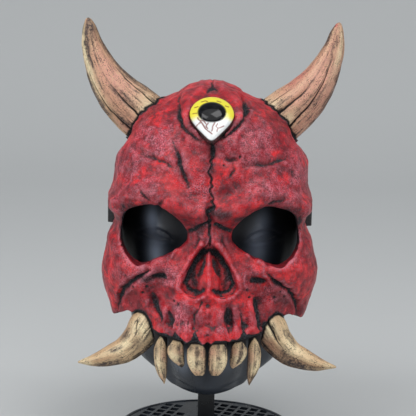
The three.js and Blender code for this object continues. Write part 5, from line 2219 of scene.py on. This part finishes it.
@dataclass
class Room:
    """A plain pale floor that curves up into a backdrop, and soft studio light."""

    grey: Colour = srgb(200, 202, 202)
    dust: Colour = srgb(190, 192, 192)
    air: Colour = srgb(205, 212, 220)
    lights: tuple[Light, ...] = (
        Light("top_left", (-0.62, -0.6, 1.2), (0.6, 0.6), 4.2),
        Light("top_right", (0.36, -0.36, 1.45), (0.62, 0.62), 4.8),
        Light("strip_left", (-1.05, -0.5, 0.3), (0.16, 0.9), 4.0),
        Light("strip_right", (1.05, -0.45, 0.3), (0.14, 0.9), 2.4),
    )
    sun_down: float = math.radians(56)
    sun_softness: float = math.radians(80)
    sun_power: float = 1.25
    half_width: float = 4.0
    near: float = -2.0
    far: float = 2.6
    bend: float = 1.2
    height: float = 4.0

    def build(self) -> None:
        """Builds the floor and backdrop, hangs the lights and sets the plain view."""
        work = bmesh.new()
        start, bend = self.far - self.bend, self.bend
        profile = [(self.near, 0.0), (start, 0.0)]
        profile += [(start + bend * math.sin(turn), bend - bend * math.cos(turn))
                    for turn in (math.pi / 2 * k / 12 for k in range(1, 13))]
        profile.append((self.far, self.height))
        verts = [work.verts.new((-self.half_width, y, z)) for y, z in profile]
        edges = [work.edges.new(pair) for pair in zip(verts, verts[1:])]
        grown = bmesh.ops.extrude_edge_only(work, edges=edges)
        fresh = [item for item in grown["geom"] if isinstance(item, bmesh.types.BMVert)]
        bmesh.ops.translate(work, verts=fresh, vec=(2 * self.half_width, 0, 0))
        floor = from_bmesh("studio_floor", work)
        board = Board("studio_grey")
        dust = board.noise(400, 2)
        colour = board.mix(board.span(dust, 0.3, 0.7, 0, 0.06), self.grey, self.dust)
        dress(floor, board.finish(colour, 0.9))
        floor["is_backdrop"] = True
        for light in self.lights:
            light.place()
        self.hang_sun()
        world = bpy.data.worlds.new("studio_air")
        world.use_nodes = True
        background = world.node_tree.nodes["Background"]
        background.inputs["Color"].default_value = self.air
        background.inputs["Strength"].default_value = 0.3
        bpy.context.scene.world = world
        bpy.context.scene.view_settings.view_transform = "Standard"

    def hang_sun(self) -> None:
        """Adds the broad light from above the camera that evens the whole room."""
        data = bpy.data.lights.new("broad", "SUN")
        data.angle = self.sun_softness
        data.energy = self.sun_power
        lamp = link("broad", data)
        lamp.matrix_world = Matrix.Rotation(math.radians(90) - self.sun_down, 4, "X")


# Assembly


def corners(box: tuple[Vector, Vector]) -> list[list[float]]:
    """Turns a box into plain lists of numbers."""
    return [list(corner) for corner in box]


# How far the painted shade reaches where bone and shell meet
BONE_SEAM = Seam(0.5, 2.6)
SHELL_SEAM = Seam(0.8, 3.2)


def build_bone() -> tuple[tuple[Horn, ...], list[Piece]]:
    """Builds the horns, tusks and teeth.

    Returns:
        The horns, which the mask's lips follow, and all pieces of bone.
    """
    finish = AgedBone().make()
    horns, built = [], []
    for side in Side:
        horn = Horn(side, HORN_GROOVES[side], HORN_TINTS[side], steps=190, sides=170, seed=21 + side.value)
        horns.append(horn)
        tusk = Tusk(side, TUSK_GROOVES[side], TUSK_TINTS[side], steps=140, sides=120, seed=31 + side.value,
                    low_shade=0.8)
        pieces = [(f"horn_{side.word}", horn), (f"tusk_{side.word}", tusk)]
        for index, kind in enumerate(ToothKind):
            tooth = Tooth(side, tints=TOOTH_TINTS, kind=kind, seed=41 + 2 * index + side.value, low_shade=0.9)
            pieces.append((f"{kind.word}_{side.word}", tooth))
        for node, maker in pieces:
            sculpt = maker.build(f"bone_{node}")
            ride_as(sculpt.piece, finish, "bone", node)
            built.append(sculpt.piece)
    return tuple(horns), built


def main() -> None:
    """Builds every piece round the frame and the room about it."""
    logging.basicConfig(level=logging.INFO, format="%(message)s")
    cad_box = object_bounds()
    Camera().place()
    Room().build()
    horns, bones = build_bone()
    skull = SkullMask(horns).build()
    # painted shade where each piece of bone meets the shell, on both pieces
    for bone in bones:
        darken_seam(bone, skull, BONE_SEAM)
        darken_seam(skull, bone, SHELL_SEAM)
    ThirdEye().build()
    DisplayHead().build()
    HeadStrap().build()
    Rod().build()
    Foot().build()
    {"cad": corners(cad_box), "visual": corners(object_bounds())}


if __name__ == "__main__":
    main()
